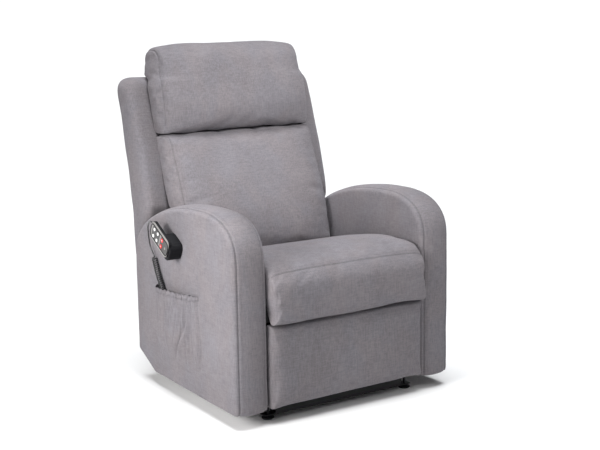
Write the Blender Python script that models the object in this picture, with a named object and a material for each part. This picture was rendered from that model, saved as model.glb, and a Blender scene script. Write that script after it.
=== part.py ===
"""Lift recliner chair: floor base, lift linkage, seat carriage with arms, backrest, footrest and handset.

Metres, +Z up, the sitter faces -Y.  Names ending in _left are on the sitter's left, which is +X.
Everything is first placed about the chair's own middle plane, x = 0, and moved once at the end so that
the origin is at the middle of the whole object's base.
"""

from math import atan2, cos, hypot, pi, radians, sin

import bmesh
import bpy
from mathutils import Vector

GAP = 0.0003            # left between pieces that touch

# Overall
HALF_WIDTH = 0.39       # outer faces of the arms
ARM_WIDTH = 0.109
SEAT_FRONT = -0.430
BACK_REAR = 0.459
ARM_FRONT = -0.40
ARM_REAR = 0.265
ARM_BOTTOM = 0.045
ARM_TOP = 0.624
ARM_TOP_Y = -0.20       # the highest point of the arm
WALL_SOFT = 0.008       # cover and padding over a timber frame
WALL_BACK = 0.012

# Floor base
RAIL_X = (0.190, 0.220)
TUBE_Z = (0.0150, 0.0450)
TUBE_WALL = 0.002
FRONT_TUBE_Y = (-0.355, -0.325)
REAR_TUBE_Y = (0.235, 0.265)
TUBE_HALF = 0.235
FOOT_X = 0.255
FOOT_Y = (-0.342, 0.252)
FOOT_RADIUS = 0.019
FOOT_STEM = 0.004

# Lift linkage, pivots as (y, z)
LIFT_FRONT = (-0.270, 0.063)
LIFT_LENGTH = 0.22
LIFT_REST_ANGLE = radians(5)
LIFT_REAR = (-0.200, 0.108)
LIFT_REAR_TOP = (0.185, 0.178)
SHAFT_RADIUS = 0.0127
CRANK_PLATE_X = (-0.004, 0.004)     # a crank plate, welded to the middle of its shaft
LIFT_MOTOR = (0.215, 0.088)
CRANK_LENGTH = 0.075
CRANK_ANGLE = radians(50)
SHAFT_ARM = 0.045
SHAFT_ANGLE = radians(95)

# Seat carriage
EAR_X = (0.1985, 0.2025)
REAR_LINK_X = (0.1925, 0.1970)
FRONT_LINK_X = (0.2045, 0.2095)
SIDE_PLATE_X = (0.2115, 0.2145)
BACK_MOTOR = (-0.120, 0.235)

# Backrest
BACK_HINGE = (0.190, 0.360)
BACK_TILT = radians(18)
BACK_CRANK = (0.180, 0.230)
BACK_HALF = 0.360
POST_X = (0.218, 0.243)

# Footrest, a parallel linkage
FOOT_PIVOT_A = (-0.280, 0.265)
FOOT_PIVOT_B = (-0.224, 0.237)
FOOT_LINK = 0.195
FOOT_LINK_ANGLE = radians(-125)     # from straight ahead, at rest
PANEL_PIVOT = (-0.362, 0.200)
FOOT_LINK_X = (0.2215, 0.2255)
COUPLER_X = (0.2275, 0.2315)
PANEL_HALF = 0.277

# Handset on the sitter's right arm, in its own length (t) and width (s)
HANDSET_CENTRE = (-0.026, 0.516)
HANDSET_SLOPE = radians(28)
HANDSET_HALF_LENGTH = 0.0625
HANDSET_HALF_WIDTH = 0.031
HANDSET_X = (-0.4400, -0.4290)
HOLDER_SPAN = ((-0.0095, 0.0695), (-0.038, 0.020))      # along and across the handset
BUTTONS = {             # name: (t, s, radius)
    "button_back_up": (-0.036, 0.012, 0.0052),
    "button_back_down": (-0.036, -0.012, 0.0052),
    "button_feet_up": (-0.012, 0.012, 0.0052),
    "button_feet_down": (-0.012, -0.012, 0.0052),
    "button_lift_up": (0.020, 0.011, 0.0064),
    "button_lift_down": (0.020, -0.011, 0.0064),
    "button_light": (0.046, 0.0, 0.0042),
}
LEAD_DIAMETER = 0.0045
COIL_DIAMETER = 0.0150

MATERIALS = {           # colour, roughness, metallic
    "fabric": ((0.36, 0.33, 0.34), 0.95, 0.0),
    "black_steel": ((0.015, 0.015, 0.016), 0.45, 0.6),
    "zinc_steel": ((0.55, 0.55, 0.56), 0.40, 0.9),
    "timber": ((0.55, 0.40, 0.24), 0.80, 0.0),
    "black_plastic": ((0.012, 0.012, 0.013), 0.50, 0.0),
    "silver_plastic": ((0.60, 0.60, 0.58), 0.35, 0.3),
    "light_plastic": ((0.75, 0.75, 0.73), 0.45, 0.0),
    "red_plastic": ((0.55, 0.02, 0.02), 0.40, 0.0),
}


def clear_scene():
    """Remove whatever the scene holds."""
    for old in list(bpy.data.objects):
        bpy.data.objects.remove(old)


def material(name):
    """The named material, made once."""
    made = bpy.data.materials.get(name)
    if made:
        return made
    colour, rough, metal = MATERIALS[name]
    made = bpy.data.materials.new(name)
    made.use_nodes = True
    shader = made.node_tree.nodes["Principled BSDF"]
    shader.inputs["Base Color"].default_value = (*colour, 1)
    shader.inputs["Roughness"].default_value = rough
    shader.inputs["Metallic"].default_value = metal
    return made


# ---------------------------------------------------------------- outlines, as lists of (a, b) points

def circle(a, b, radius, count=12):
    turns = [2 * pi * k / count for k in range(count)]
    return [(a + radius * cos(turn), b + radius * sin(turn)) for turn in turns]


def rectangle(a, b):
    return [(a[0], b[0]), (a[1], b[0]), (a[1], b[1]), (a[0], b[1])]


def rounded_rectangle(half_a, half_b, radius, steps=3):
    """A rectangle about the origin with round corners."""
    points = []
    for quarter in range(4):
        side_a = 1 if quarter in (0, 3) else -1
        side_b = 1 if quarter < 2 else -1
        for step in range(steps + 1):
            angle = pi / 2 * (quarter + step / steps)
            points.append((side_a * (half_a - radius) + radius * cos(angle),
                           side_b * (half_b - radius) + radius * sin(angle)))
    return points


def hull(points):
    """The convex outline round some points, anticlockwise."""
    def half(ordered):
        kept = []
        for p in ordered:
            while len(kept) > 1 and turn(kept[-2], kept[-1], p) <= 1e-12:
                kept.pop()
            kept.append(p)
        return kept[:-1]

    def turn(a, b, c):
        return (b[0] - a[0]) * (c[1] - a[1]) - (b[1] - a[1]) * (c[0] - a[0])

    ordered = sorted(set(points))
    return half(ordered) + half(ordered[::-1])


def link_outline(*ends):
    """A flat link round its pivots, each given as (point, radius)."""
    return hull([p for (centre, radius) in ends for p in circle(*centre, radius, 16)])


def inset(points, distance):
    """An anticlockwise outline moved inwards by a distance."""
    moved = []
    for k, here in enumerate(points):
        before, after = points[k - 1], points[(k + 1) % len(points)]
        along_in = Vector((here[0] - before[0], here[1] - before[1])).normalized()
        along_out = Vector((after[0] - here[0], after[1] - here[1])).normalized()
        normal = Vector((-along_in.y - along_out.y, along_in.x + along_out.x)).normalized()
        reach = distance / max(0.4, normal.dot(Vector((-along_in.y, along_in.x))))
        moved.append((here[0] + normal.x * reach, here[1] + normal.y * reach))
    return moved


def swing(centre, length, angle):
    """The point at a length and angle from a pivot, in the (y, z) plane."""
    return (centre[0] + length * cos(angle), centre[1] + length * sin(angle))


# ---------------------------------------------------------------- solids

# The two axes of an outline, then the axis that it is pushed along
PLANES = {"X": (1, 2, 0), "Y": (0, 2, 1), "Z": (0, 1, 2)}
PIN_SIDES = 12


def finish(name, bm, finish_name, bevel=0.0, segments=2):
    """Turn a bmesh into a named object with its material."""
    bmesh.ops.recalc_face_normals(bm, faces=bm.faces[:])
    mesh = bpy.data.meshes.new(name)
    bm.to_mesh(mesh)
    bm.free()
    obj = bpy.data.objects.new(name, mesh)
    bpy.context.scene.collection.objects.link(obj)
    mesh.materials.append(material(finish_name))
    mesh.shade_smooth()
    mesh.set_sharp_from_angle(angle=radians(35))
    if bevel:
        rounding = obj.modifiers.new("round", "BEVEL")
        rounding.width = bevel
        rounding.segments = segments
        rounding.limit_method = "ANGLE"
        rounding.angle_limit = radians(40)
    return obj


def prism(name, axis, outline, span, finish_name, holes=(), pins=(), bevel=0.0, segments=2):
    """An outline pushed along an axis, with through holes, and round pins that stand out of its faces.

    A hole is an outline; a pin is (a, b, radius, lo, hi), which runs from lo to hi along the axis.
    """
    first, second, along = PLANES[axis]
    bm = bmesh.new()

    def ring(points):
        verts = []
        for a, b in points:
            place = [0.0, 0.0, 0.0]
            place[first], place[second], place[along] = a, b, span[0]
            verts.append(bm.verts.new(place))
        edges = [bm.edges.new((v, verts[(k + 1) % len(verts)])) for k, v in enumerate(verts)]
        return verts, edges

    edges = ring(outline)[1]
    discs = []
    for hole in holes:
        edges += ring(hole)[1]
    for a, b, radius, _, _ in pins:
        verts, more = ring(circle(a, b, radius, PIN_SIDES))
        edges += more
        discs.append(verts)
    bmesh.ops.triangle_fill(bm, use_beauty=True, edges=edges)
    for verts in discs:
        bm.faces.new(verts)
    pushed = bmesh.ops.extrude_face_region(bm, geom=bm.faces[:])["geom"]
    shift = Vector((0, 0, 0))
    shift[along] = span[1] - span[0]
    bmesh.ops.translate(bm, vec=shift, verts=[v for v in pushed if isinstance(v, bmesh.types.BMVert)])
    for a, b, _, lo, hi in pins:
        for level, reach in ((span[0], lo), (span[1], hi)):
            if abs(level - reach) < 1e-6:
                continue
            level_faces = [f for f in bm.faces if len(f.verts) == PIN_SIDES
                           and all(abs(v.co[along] - level) < 1e-6 for v in f.verts)]
            disc = min(level_faces, key=lambda f: hypot(f.calc_center_median()[first] - a,
                                                        f.calc_center_median()[second] - b))
            stub = bmesh.ops.extrude_face_region(bm, geom=[disc])["geom"]
            if disc.is_valid:
                bm.faces.remove(disc)
            shift = Vector((0, 0, 0))
            shift[along] = reach - level
            bmesh.ops.translate(bm, vec=shift, verts=[v for v in stub if isinstance(v, bmesh.types.BMVert)])
    return finish(name, bm, finish_name, bevel, segments)


def block(name, x, y, z, finish_name, bevel=0.0, segments=1):
    return prism(name, "X", rectangle(y, z), x, finish_name, bevel=bevel, segments=segments)


def box_tube(name, axis, a, b, span, finish_name):
    """A square steel tube, open at both ends."""
    inner = rectangle((a[0] + TUBE_WALL, a[1] - TUBE_WALL), (b[0] + TUBE_WALL, b[1] - TUBE_WALL))
    return prism(name, axis, rectangle(a, b), span, finish_name, holes=[inner])


def turned(name, centre, profile, finish_name, sides=16):
    """A solid of revolution about a vertical axis; the profile is (radius, z) from the bottom up."""
    bm = bmesh.new()
    rings = []
    for radius, z in profile:
        rings.append([bm.verts.new((x, y, z)) for x, y in circle(*centre, radius, sides)])
    for low, high in zip(rings, rings[1:]):
        for k in range(sides):
            bm.faces.new((low[k], low[(k + 1) % sides], high[(k + 1) % sides], high[k]))
    bm.faces.new(rings[0])
    bm.faces.new(rings[-1])
    return finish(name, bm, finish_name)


def combine(target, tool, operation):
    """Cut one solid with another, or weld the other on; the tool is left as a guide."""
    step = target.modifiers.new(operation.lower(), "BOOLEAN")
    step.operation = operation
    step.solver = "EXACT"
    step.object = tool
    tool.hide_render = True
    tool.display_type = "WIRE"
    return target


def smooth_route(points, spacing):
    """Points every spacing along a smooth curve through the route's own points."""
    knots = [Vector(p) for p in points]
    ends = [2 * knots[0] - knots[1]] + knots + [2 * knots[-1] - knots[-2]]
    fine = []
    for k in range(1, len(ends) - 2):
        a, b, c, d = ends[k - 1:k + 3]
        for step in range(40):
            t = step / 40
            fine.append(0.5 * (2 * b + (c - a) * t + (2 * a - 5 * b + 4 * c - d) * t ** 2
                               + (3 * b - a - 3 * c + d) * t ** 3))
    fine.append(knots[-1])
    length = sum((q - p).length for p, q in zip(fine, fine[1:]))
    count = max(2, round(length / spacing))
    route, walked, target = [fine[0]], 0.0, length / count
    for p, q in zip(fine, fine[1:]):
        step = (q - p).length
        while walked + step >= target * len(route) - 1e-9 and len(route) < count:
            route.append(p.lerp(q, (target * len(route) - walked) / step))
        walked += step
    return route + [fine[-1]]


def cord_tube(name, points, diameter, spacing, finish_name, sides):
    """A solid round tube along a smooth route."""
    route = smooth_route(points, spacing)
    curve = bpy.data.curves.new(name, "CURVE")
    curve.dimensions = "3D"
    curve.bevel_depth = diameter / 2
    curve.bevel_resolution = sides
    curve.use_fill_caps = True
    line = curve.splines.new("POLY")
    line.points.add(len(route) - 1)
    for point, place in zip(line.points, route):
        point.co = (*place, 1)
    obj = bpy.data.objects.new(name, curve)
    bpy.context.scene.collection.objects.link(obj)
    curve.materials.append(material(finish_name))
    return obj


def sides():
    """Both sides of the chair: the ending of a name and the sign of x."""
    return (("left", 1), ("right", -1))


def span(sign, pair):
    """An x range on one side of the chair, lowest first."""
    return tuple(sorted((sign * pair[0], sign * pair[1])))


# ---------------------------------------------------------------- floor base

def ear_outline():
    """The pivot plate on a side rail, with a lobe for each lift link."""
    (front_y, front_z), (rear_y, rear_z) = LIFT_FRONT, LIFT_REAR
    lobe = 0.014
    foot = TUBE_Z[1] - TUBE_WALL / 2
    rear_arc = [swing(LIFT_REAR, lobe, radians(a)) for a in (0, 45, 90, 135, 180)]
    front_arc = [swing(LIFT_FRONT, lobe, radians(a)) for a in (30, 60, 90, 120, 180)]
    return ([(front_y - 0.024, foot), (rear_y + 0.026, foot), (rear_y + 0.026, foot + 0.008)] + rear_arc
            + [(rear_y - 0.018, foot + 0.008), (front_y + 0.026, foot + 0.008)] + front_arc)


def floor_base():
    rail_y = (FRONT_TUBE_Y[1] + GAP, REAR_TUBE_Y[0] - GAP)
    for end, sign in sides():
        rail = box_tube(f"base_rail_{end}", "Y", span(sign, RAIL_X), TUBE_Z, rail_y, "black_steel")
        pivots = [circle(*LIFT_FRONT, 0.0065), circle(*LIFT_REAR, 0.0065)]
        ear = prism(f"base_ear_{end}", "X", ear_outline(), span(sign, EAR_X), "black_steel", holes=pivots)
        combine(rail, ear, "UNION")
    reach = (-TUBE_HALF, TUBE_HALF)
    box_tube("base_front_tube", "X", FRONT_TUBE_Y, TUBE_Z, reach, "black_steel")
    box_tube("base_rear_tube", "X", REAR_TUBE_Y, TUBE_Z, reach, "black_steel")
    for name, foot_y, tube_y in (("front", FOOT_Y[0], FRONT_TUBE_Y), ("rear", FOOT_Y[1], REAR_TUBE_Y)):
        stems = [circle(side * FOOT_X, foot_y, FOOT_STEM + 0.0005) for side in (-1, 1)]
        plate = rectangle((-FOOT_X - 0.018, FOOT_X + 0.018), (tube_y[0] + 0.001, tube_y[1] - 0.001))
        prism(f"foot_plate_{name}", "Z", plate, (TUBE_Z[0] - GAP - 0.003, TUBE_Z[0] - GAP), "black_steel",
              holes=stems)
        for end, sign in sides():
            profile = [(FOOT_RADIUS - 0.002, 0), (FOOT_RADIUS, 0.002), (FOOT_RADIUS, 0.006), (0.012, 0.010),
                       (0.009, 0.0110), (FOOT_STEM, 0.0112), (FOOT_STEM, 0.034)]
            turned(f"glide_{name}_{end}", (sign * FOOT_X, foot_y), profile, "black_plastic")
    foot = TUBE_Z[1] + GAP
    foot_y = (REAR_TUBE_Y[0] + 0.001, REAR_TUBE_Y[0] + 0.013)
    bracket = hull(circle(*LIFT_MOTOR, 0.014, 16) + [(y, foot) for y in foot_y])
    prism("lift_motor_bracket", "X", bracket, (0.014, 0.019), "black_steel",
          pins=[(*LIFT_MOTOR, 0.006, -0.014, 0.019)])


# ---------------------------------------------------------------- lift linkage

def lift_pivots():
    """The moving pivots at rest: carriage pivot, torque shaft and crank pin."""
    carriage = swing(LIFT_FRONT, LIFT_LENGTH, LIFT_REST_ANGLE)
    shaft = swing(LIFT_FRONT, SHAFT_ARM, SHAFT_ANGLE)
    crank = swing(LIFT_FRONT, CRANK_LENGTH, CRANK_ANGLE)
    return carriage, shaft, crank


def lift_linkage():
    carriage, shaft, crank = lift_pivots()
    for end, sign in sides():
        outline = link_outline((LIFT_FRONT, 0.014), (shaft, 0.018), (carriage, 0.014))
        inner, outer = span(sign, (0.1975, FRONT_LINK_X[1])), span(sign, (FRONT_LINK_X[0], 0.2160))
        prism(f"lift_link_{end}", "X", outline, span(sign, FRONT_LINK_X), "black_steel",
              pins=[(*LIFT_FRONT, 0.006, *inner), (*carriage, 0.006, *outer)])
        outline = link_outline((LIFT_REAR, 0.013), (LIFT_REAR_TOP, 0.013))
        through = span(sign, (REAR_LINK_X[0], 0.2038))
        prism(f"stabiliser_link_{end}", "X", outline, span(sign, REAR_LINK_X), "black_steel",
              holes=[circle(*LIFT_REAR_TOP, 0.0065)], pins=[(*LIFT_REAR, 0.006, *through)])
    reach = FRONT_LINK_X[0] - GAP
    prism("lift_torque_shaft", "X", link_outline((shaft, 0.018), (crank, 0.013)), CRANK_PLATE_X,
          "black_steel", pins=[(*shaft, SHAFT_RADIUS, -reach, reach)])


# ---------------------------------------------------------------- linear actuators

def actuator(name, rear, front, eye_radius, eye_hole, lengths, finish_name):
    """A geared motor housing with its screw tube, hung on an eye, and the push rod with its fork.

    lengths holds the tube's end, the bore's start and the rod's inner end, measured from the eye.
    """
    tube_end, bore_start, rod_start = lengths
    length = hypot(front[0] - rear[0], front[1] - rear[1])
    angle = atan2(front[1] - rear[1], front[0] - rear[0])
    forward = 1 if front[0] > rear[0] else -1
    turn = angle if forward > 0 else angle - pi

    def place(obj):
        obj.location = (0, *rear)
        obj.rotation_euler.x = turn

    def along(near, far):
        return tuple(sorted((forward * near, forward * far)))

    lug = link_outline(((0, 0), eye_radius), ((forward * 0.03, 0), eye_radius))
    case = prism(f"{name}_housing", "X", lug, (-0.0125, 0.0125), finish_name,
                 holes=[circle(0, 0, eye_hole)])
    gearcase = rounded_rectangle(0.032, 0.026, 0.008, 1)
    case_end = 0.088
    overlap = 0.002     # how far the welded pieces run into each other
    body = prism(f"{name}_gearcase", "Y", gearcase, along(0.024, case_end), finish_name)
    barrel = prism(f"{name}_barrel", "Y", circle(0.036, 0, 0.021, 14),
                   along(case_end - overlap, 0.150), finish_name)
    tube = prism(f"{name}_tube", "Y", circle(0, 0, 0.0165, 14),
                 along(case_end - overlap, tube_end), finish_name)
    bore = prism(f"{name}_bore", "Y", circle(0, 0, 0.0112, 14),
                 along(bore_start, tube_end + 0.02), finish_name)
    for part in (body, barrel, tube):
        combine(case, part, "UNION")
    combine(case, bore, "DIFFERENCE")
    rod = prism(f"{name}_rod", "Y", circle(0, 0, 0.0100, 12), along(rod_start, length - 0.034),
                "zinc_steel")
    fork_outline = [(-0.011, 0.036), (-0.011, -0.010), (-0.006, -0.010), (-0.006, 0.031),
                    (0.006, 0.031), (0.006, -0.010), (0.011, -0.010), (0.011, 0.036)]
    placed = [(a, forward * (length - b)) for a, b in fork_outline]
    fork = prism(f"{name}_fork", "Z", placed, (-0.0095, 0.0095), "zinc_steel")
    combine(rod, fork, "UNION")
    for part in (case, body, barrel, tube, bore, rod, fork):
        place(part)


# ---------------------------------------------------------------- seat carriage

def arm_outline(edge=0.0, drop=0.0):
    """The arm's side outline: a blunt round front, a long fall to the rear and a cut-off rear foot."""
    front_reach = ARM_TOP_Y - ARM_FRONT - edge
    front_rise, rear_rise, rear_reach = 0.140 - edge, 0.200 - edge, 0.468 - edge
    blunt = 2.5
    points = [(0.150, ARM_BOTTOM - drop), (ARM_REAR - edge, 0.098 - drop)]
    last = radians(8)
    for step in range(10):
        angle = last + (pi / 2 - last) * step / 10
        points.append((min(ARM_REAR - edge, ARM_TOP_Y + rear_reach * cos(angle)),
                       ARM_TOP - 0.200 + rear_rise * sin(angle)))
    for step in range(9):
        angle = pi / 2 + pi / 2 * step / 8
        across, up = abs(cos(angle)) ** (2 / blunt), abs(sin(angle)) ** (2 / blunt)
        points.append((ARM_TOP_Y - front_reach * across, ARM_TOP - 0.140 + front_rise * up))
    points.append((ARM_FRONT + edge, ARM_BOTTOM - drop))
    return points


def arms():
    inner_face = HALF_WIDTH - ARM_WIDTH
    for end, sign in sides():
        cover = prism(f"arm_cover_{end}", "X", arm_outline(), span(sign, (inner_face, HALF_WIDTH)),
                      "fabric", bevel=0.014, segments=2)
        hollow = prism(f"arm_hollow_{end}", "X", arm_outline(WALL_SOFT, 0.03),
                       span(sign, (inner_face + WALL_SOFT, HALF_WIDTH - WALL_SOFT)), "fabric")
        combine(cover, hollow, "DIFFERENCE")
        post_x = span(sign, (inner_face + 0.020, HALF_WIDTH - 0.020))
        block(f"arm_post_{end}", post_x, (-0.375, -0.335), (0.060, 0.500), "timber")


def side_plate_outline():
    carriage = lift_pivots()[0]
    lobe = [swing(carriage, 0.015, radians(a)) for a in (210, 240, 270, 300, 330)]
    hinge = [swing(BACK_HINGE, 0.026, radians(a)) for a in (0, 30, 60, 90, 120, 150, 180)]
    return ([(-0.315, 0.298), (-0.315, 0.240), (-0.215, 0.212)] + lobe
            + [(0.100, 0.130), (0.185, 0.158), (0.216, 0.185)] + hinge + [(0.160, 0.298)])


def carriage_frame():
    carriage = lift_pivots()[0]
    for end, sign in sides():
        holes = [circle(*carriage, 0.0065), circle(*LIFT_REAR_TOP, 0.0065),
                 circle(*BACK_HINGE, SHAFT_RADIUS + 0.0005)]
        prism(f"side_plate_{end}", "X", side_plate_outline(), span(sign, SIDE_PLATE_X), "black_steel",
              holes=holes)
    reach = SIDE_PLATE_X[0] - GAP
    prism("carriage_cross_tube", "X", circle(*BACK_MOTOR, SHAFT_RADIUS), (-reach, reach), "black_steel",
          holes=[circle(*BACK_MOTOR, SHAFT_RADIUS - TUBE_WALL)])
    inner_face = HALF_WIDTH - ARM_WIDTH - GAP
    block("seat_rail_front", (-inner_face, inner_face), (-0.372, -0.344), (0.302, 0.345), "timber")
    block("seat_rail_rear", (-inner_face, inner_face), (0.080, 0.115), (0.302, 0.352), "timber")
    block("seat_deck", (-0.270, 0.270), (-0.344 + GAP, 0.080 - GAP), (0.346, 0.352), "black_plastic")
    block("rear_skirt", (-inner_face, inner_face), (0.236, 0.2495), (0.088, 0.355), "fabric")


def seat_cushion():
    underside = [(SEAT_FRONT + 0.008, 0.305), (-0.3845, 0.305), (-0.3845, 0.3585), (0.064, 0.3585)]
    crown = [(0.064, 0.405), (0.050, 0.426), (-0.080, 0.462), (-0.230, 0.497), (-0.330, 0.497),
             (-0.386, 0.485)]
    outline = underside + crown + [(-0.418, 0.455), (SEAT_FRONT, 0.400)]
    prism("seat_cushion", "X", outline, (-0.275, 0.275), "fabric", bevel=0.012, segments=1)


def power_box():
    """The power supply on the rear panel, with its mains inlet in the underside."""
    case = block("power_box", (0.050, 0.160), (0.172, 0.2355), (0.215, 0.285), "black_plastic", bevel=0.004)
    inlet = block("power_inlet", (0.092, 0.118), (0.194, 0.212), (0.200, 0.225), "black_plastic")
    combine(case, inlet, "DIFFERENCE")


def pocket():
    """The gathered pocket on the outer face of the sitter's right arm, open at the top."""
    face = -HALF_WIDTH - GAP
    outline = [(-0.196, 0.108), (0.088, 0.100), (0.088, 0.333), (-0.025, 0.343), (-0.182, 0.354)]
    bag = prism("side_pocket", "X", outline, (face - 0.0215, face), "fabric")
    room = block("pocket_room", (face - 0.0185, face + 0.01), (-0.178, 0.080), (0.112, 0.400), "fabric")
    combine(bag, room, "DIFFERENCE")
    prism("pocket_grommet", "X", circle(0.010, 0.150, 0.009), (face - 0.003, face), "black_plastic")


# ---------------------------------------------------------------- handset and its lead

def on_handset(t, s):
    """A place on the handset, t towards its lower front end and s across it, as (y, z)."""
    return (HANDSET_CENTRE[0] - t * cos(HANDSET_SLOPE) - s * sin(HANDSET_SLOPE),
            HANDSET_CENTRE[1] - t * sin(HANDSET_SLOPE) + s * cos(HANDSET_SLOPE))


def handset_outline(margin=0.0, radius=0.016):
    shape = rounded_rectangle(HANDSET_HALF_LENGTH + margin, HANDSET_HALF_WIDTH + margin, radius)
    return [on_handset(t, s) for t, s in shape]


def holder_outline(radius=0.018):
    """The holder's outline: it wraps the handset's lower end and edge, and stops short of the other two."""
    (first_t, last_t), (low_s, high_s) = HOLDER_SPAN
    half_t, half_s = (last_t - first_t) / 2, (high_s - low_s) / 2
    shape = rounded_rectangle(half_t, half_s, radius)
    return [on_handset(first_t + half_t + t, low_s + half_s + s) for t, s in shape]


def handset():
    face = -HALF_WIDTH - GAP
    outer, inner = HANDSET_X
    cradle = prism("handset_holder", "X", holder_outline(), (outer + 0.004, face),
                   "black_plastic", bevel=0.004, segments=1)
    room = prism("holder_room", "X", handset_outline(0.0006, 0.0166), (outer - 0.01, inner + 0.0006),
                 "black_plastic")
    combine(cradle, room, "DIFFERENCE")
    shell = prism("handset_shell", "X", handset_outline(), (outer + 0.002 + GAP, inner), "black_plastic")
    hollow = prism("handset_hollow", "X", handset_outline(-0.002, 0.014), (outer - 0.01, inner - 0.002),
                   "black_plastic")
    combine(shell, hollow, "DIFFERENCE")
    holes = [circle(*on_handset(t, s), r + 0.0004) for t, s, r in BUTTONS.values()]
    prism("handset_face", "X", handset_outline(-0.001), (outer, outer + 0.002), "silver_plastic",
          holes=holes)
    for name, (t, s, r) in BUTTONS.items():
        colour = "red_plastic" if "lift" in name else "light_plastic"
        prism(name, "X", circle(*on_handset(t, s), r), (outer - 0.0018, outer + 0.0060), colour)


def handset_cord():
    """The short plain lead from the handset, and the curly lead that hangs into the pocket."""
    start = on_handset(-HANDSET_HALF_LENGTH - GAP, 0.010)
    lead = [(-0.4335, *start), (-0.4335, start[0] + 0.012, start[1] + 0.007),
            (-0.428, start[0] + 0.035, start[1] + 0.004), (-0.416, 0.090, 0.528), (-0.406, 0.100, 0.495),
            (-0.4010, 0.097, 0.463), (-0.3995, 0.0885, 0.438)]
    cord_tube("handset_lead", lead, LEAD_DIAMETER, 0.010, "black_plastic", 2)
    coil = [(-0.3995, 0.0880, 0.4365), (-0.3995, 0.0790, 0.415), (-0.3995, 0.0640, 0.386),
            (-0.3995, 0.0450, 0.356), (-0.3995, 0.0220, 0.312), (-0.3995, 0.0060, 0.262),
            (-0.3995, 0.0020, 0.215), (-0.3995, 0.0060, 0.172)]
    cord_tube("handset_coil", coil, COIL_DIAMETER, 0.020, "black_plastic", 2)


# ---------------------------------------------------------------- backrest

def shell_outline():
    """The side outline of the wings; the last three points are the edge that clears the arms."""
    bottom = [(0.300, 0.400), (0.341, 0.400)]
    rear = [(0.362, 0.480), (0.385, 0.570), (0.399, 0.674), (0.421, 0.773), (0.449, 0.906)]
    top = [(BACK_REAR, 0.955), (0.450, 0.975), (0.432, 0.980), (0.362, 0.980), (0.348, 0.972)]
    front = [(0.331, 0.919), (0.290, 0.798), (0.242, 0.653), (0.213, 0.560)]
    over_arms = [(0.240, 0.524), (0.262, 0.496), (0.284, 0.455)]
    return bottom + rear + top + front + over_arms


def shell_room():
    """The hollow of the shell, open below and along its lower front edge."""
    below = [(0.150, 0.340), (0.325, 0.340)]
    return inset(below + shell_outline()[2:-3], WALL_BACK)


def backrest():
    shell = prism("back_shell", "X", shell_outline(), (-BACK_HALF, BACK_HALF), "fabric",
                  bevel=0.010, segments=1)
    hollow = prism("back_hollow", "X", shell_room(),
                   (-BACK_HALF + WALL_BACK, BACK_HALF - WALL_BACK), "fabric")
    combine(shell, hollow, "DIFFERENCE")
    for end, sign in sides():
        post = prism(f"back_post_{end}", "X", rectangle((-0.0125, 0.0125), (-0.022, 0.600)),
                     span(sign, POST_X), "timber")
        post.location = (0, *BACK_HINGE)
        post.rotation_euler.x = -BACK_TILT
    reach = POST_X[0] - GAP
    prism("back_hinge_shaft", "X", link_outline((BACK_HINGE, 0.018), (BACK_CRANK, 0.013)), CRANK_PLATE_X,
          "black_steel", pins=[(*BACK_HINGE, SHAFT_RADIUS, -reach, reach)])
    cushion_rear = [(0.155, 0.405), (0.168, 0.450), (0.200, 0.552), (0.236, 0.655), (0.283, 0.797)]
    cushion_front = [(0.215, 0.797), (0.178, 0.740), (0.138, 0.660), (0.102, 0.570), (0.078, 0.500),
                     (0.072, 0.440), (0.100, 0.405)]
    prism("back_cushion", "X", cushion_rear + cushion_front, (-0.272, 0.272), "fabric",
          bevel=0.010, segments=1)
    pillow_rear = [(0.2845, 0.803), (0.325, 0.921), (0.341, 0.978), (0.358, 0.985), (0.400, 0.985)]
    pillow_top = [(0.396, 1.055), (0.368, 1.083), (0.292, 1.083), (0.248, 1.050)]
    pillow_front = [(0.224, 0.980), (0.208, 0.910), (0.208, 0.840), (0.225, 0.803)]
    prism("head_cushion", "X", pillow_rear + pillow_top + pillow_front, (-0.280, 0.280), "fabric",
          bevel=0.012, segments=1)


# ---------------------------------------------------------------- footrest

def ahead(point):
    """Turn (distance ahead, height) into (y, z), and back."""
    return (-point[0], point[1])


def footrest():
    end_a = ahead(swing(ahead(FOOT_PIVOT_A), FOOT_LINK, FOOT_LINK_ANGLE))
    end_b = ahead(swing(ahead(FOOT_PIVOT_B), FOOT_LINK, FOOT_LINK_ANGLE))
    for end, sign in sides():
        for name, pivot, tip in (("a", FOOT_PIVOT_A, end_a), ("b", FOOT_PIVOT_B, end_b)):
            prism(f"footrest_link_{name}_{end}", "X", link_outline((pivot, 0.010), (tip, 0.010)),
                  span(sign, FOOT_LINK_X), "black_steel",
                  holes=[circle(*pivot, 0.004), circle(*tip, 0.004)])
        outline = link_outline((end_b, 0.010), (end_a, 0.010), (PANEL_PIVOT, 0.011))
        prism(f"footrest_coupler_{end}", "X", outline, span(sign, COUPLER_X), "black_steel",
              holes=[circle(*end_b, 0.004), circle(*PANEL_PIVOT, 0.004)])
    prism("footrest_panel", "X", rectangle((-0.412, -0.376), (0.056, 0.3005)),
          (-PANEL_HALF, PANEL_HALF), "fabric", bevel=0.008, segments=1)


def move_to_origin():
    """Put the origin at the middle of the whole object's base."""
    outermost = HANDSET_X[0] - 0.0018
    shift = Vector((-(outermost + HALF_WIDTH) / 2, -(SEAT_FRONT + BACK_REAR) / 2, 0))
    for obj in bpy.data.objects:
        obj.location += shift


clear_scene()
floor_base()
lift_linkage()
actuator("lift_motor", LIFT_MOTOR, lift_pivots()[2], 0.014, 0.0065, (0.385, 0.283, 0.289),
         "black_plastic")
actuator("back_motor", BACK_MOTOR, BACK_CRANK, 0.020, SHAFT_RADIUS + 0.0005, (0.182, 0.092, 0.170),
         "black_plastic")
arms()
carriage_frame()
seat_cushion()
power_box()
pocket()
handset()
handset_cord()
backrest()
footrest()
move_to_origin()
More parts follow.
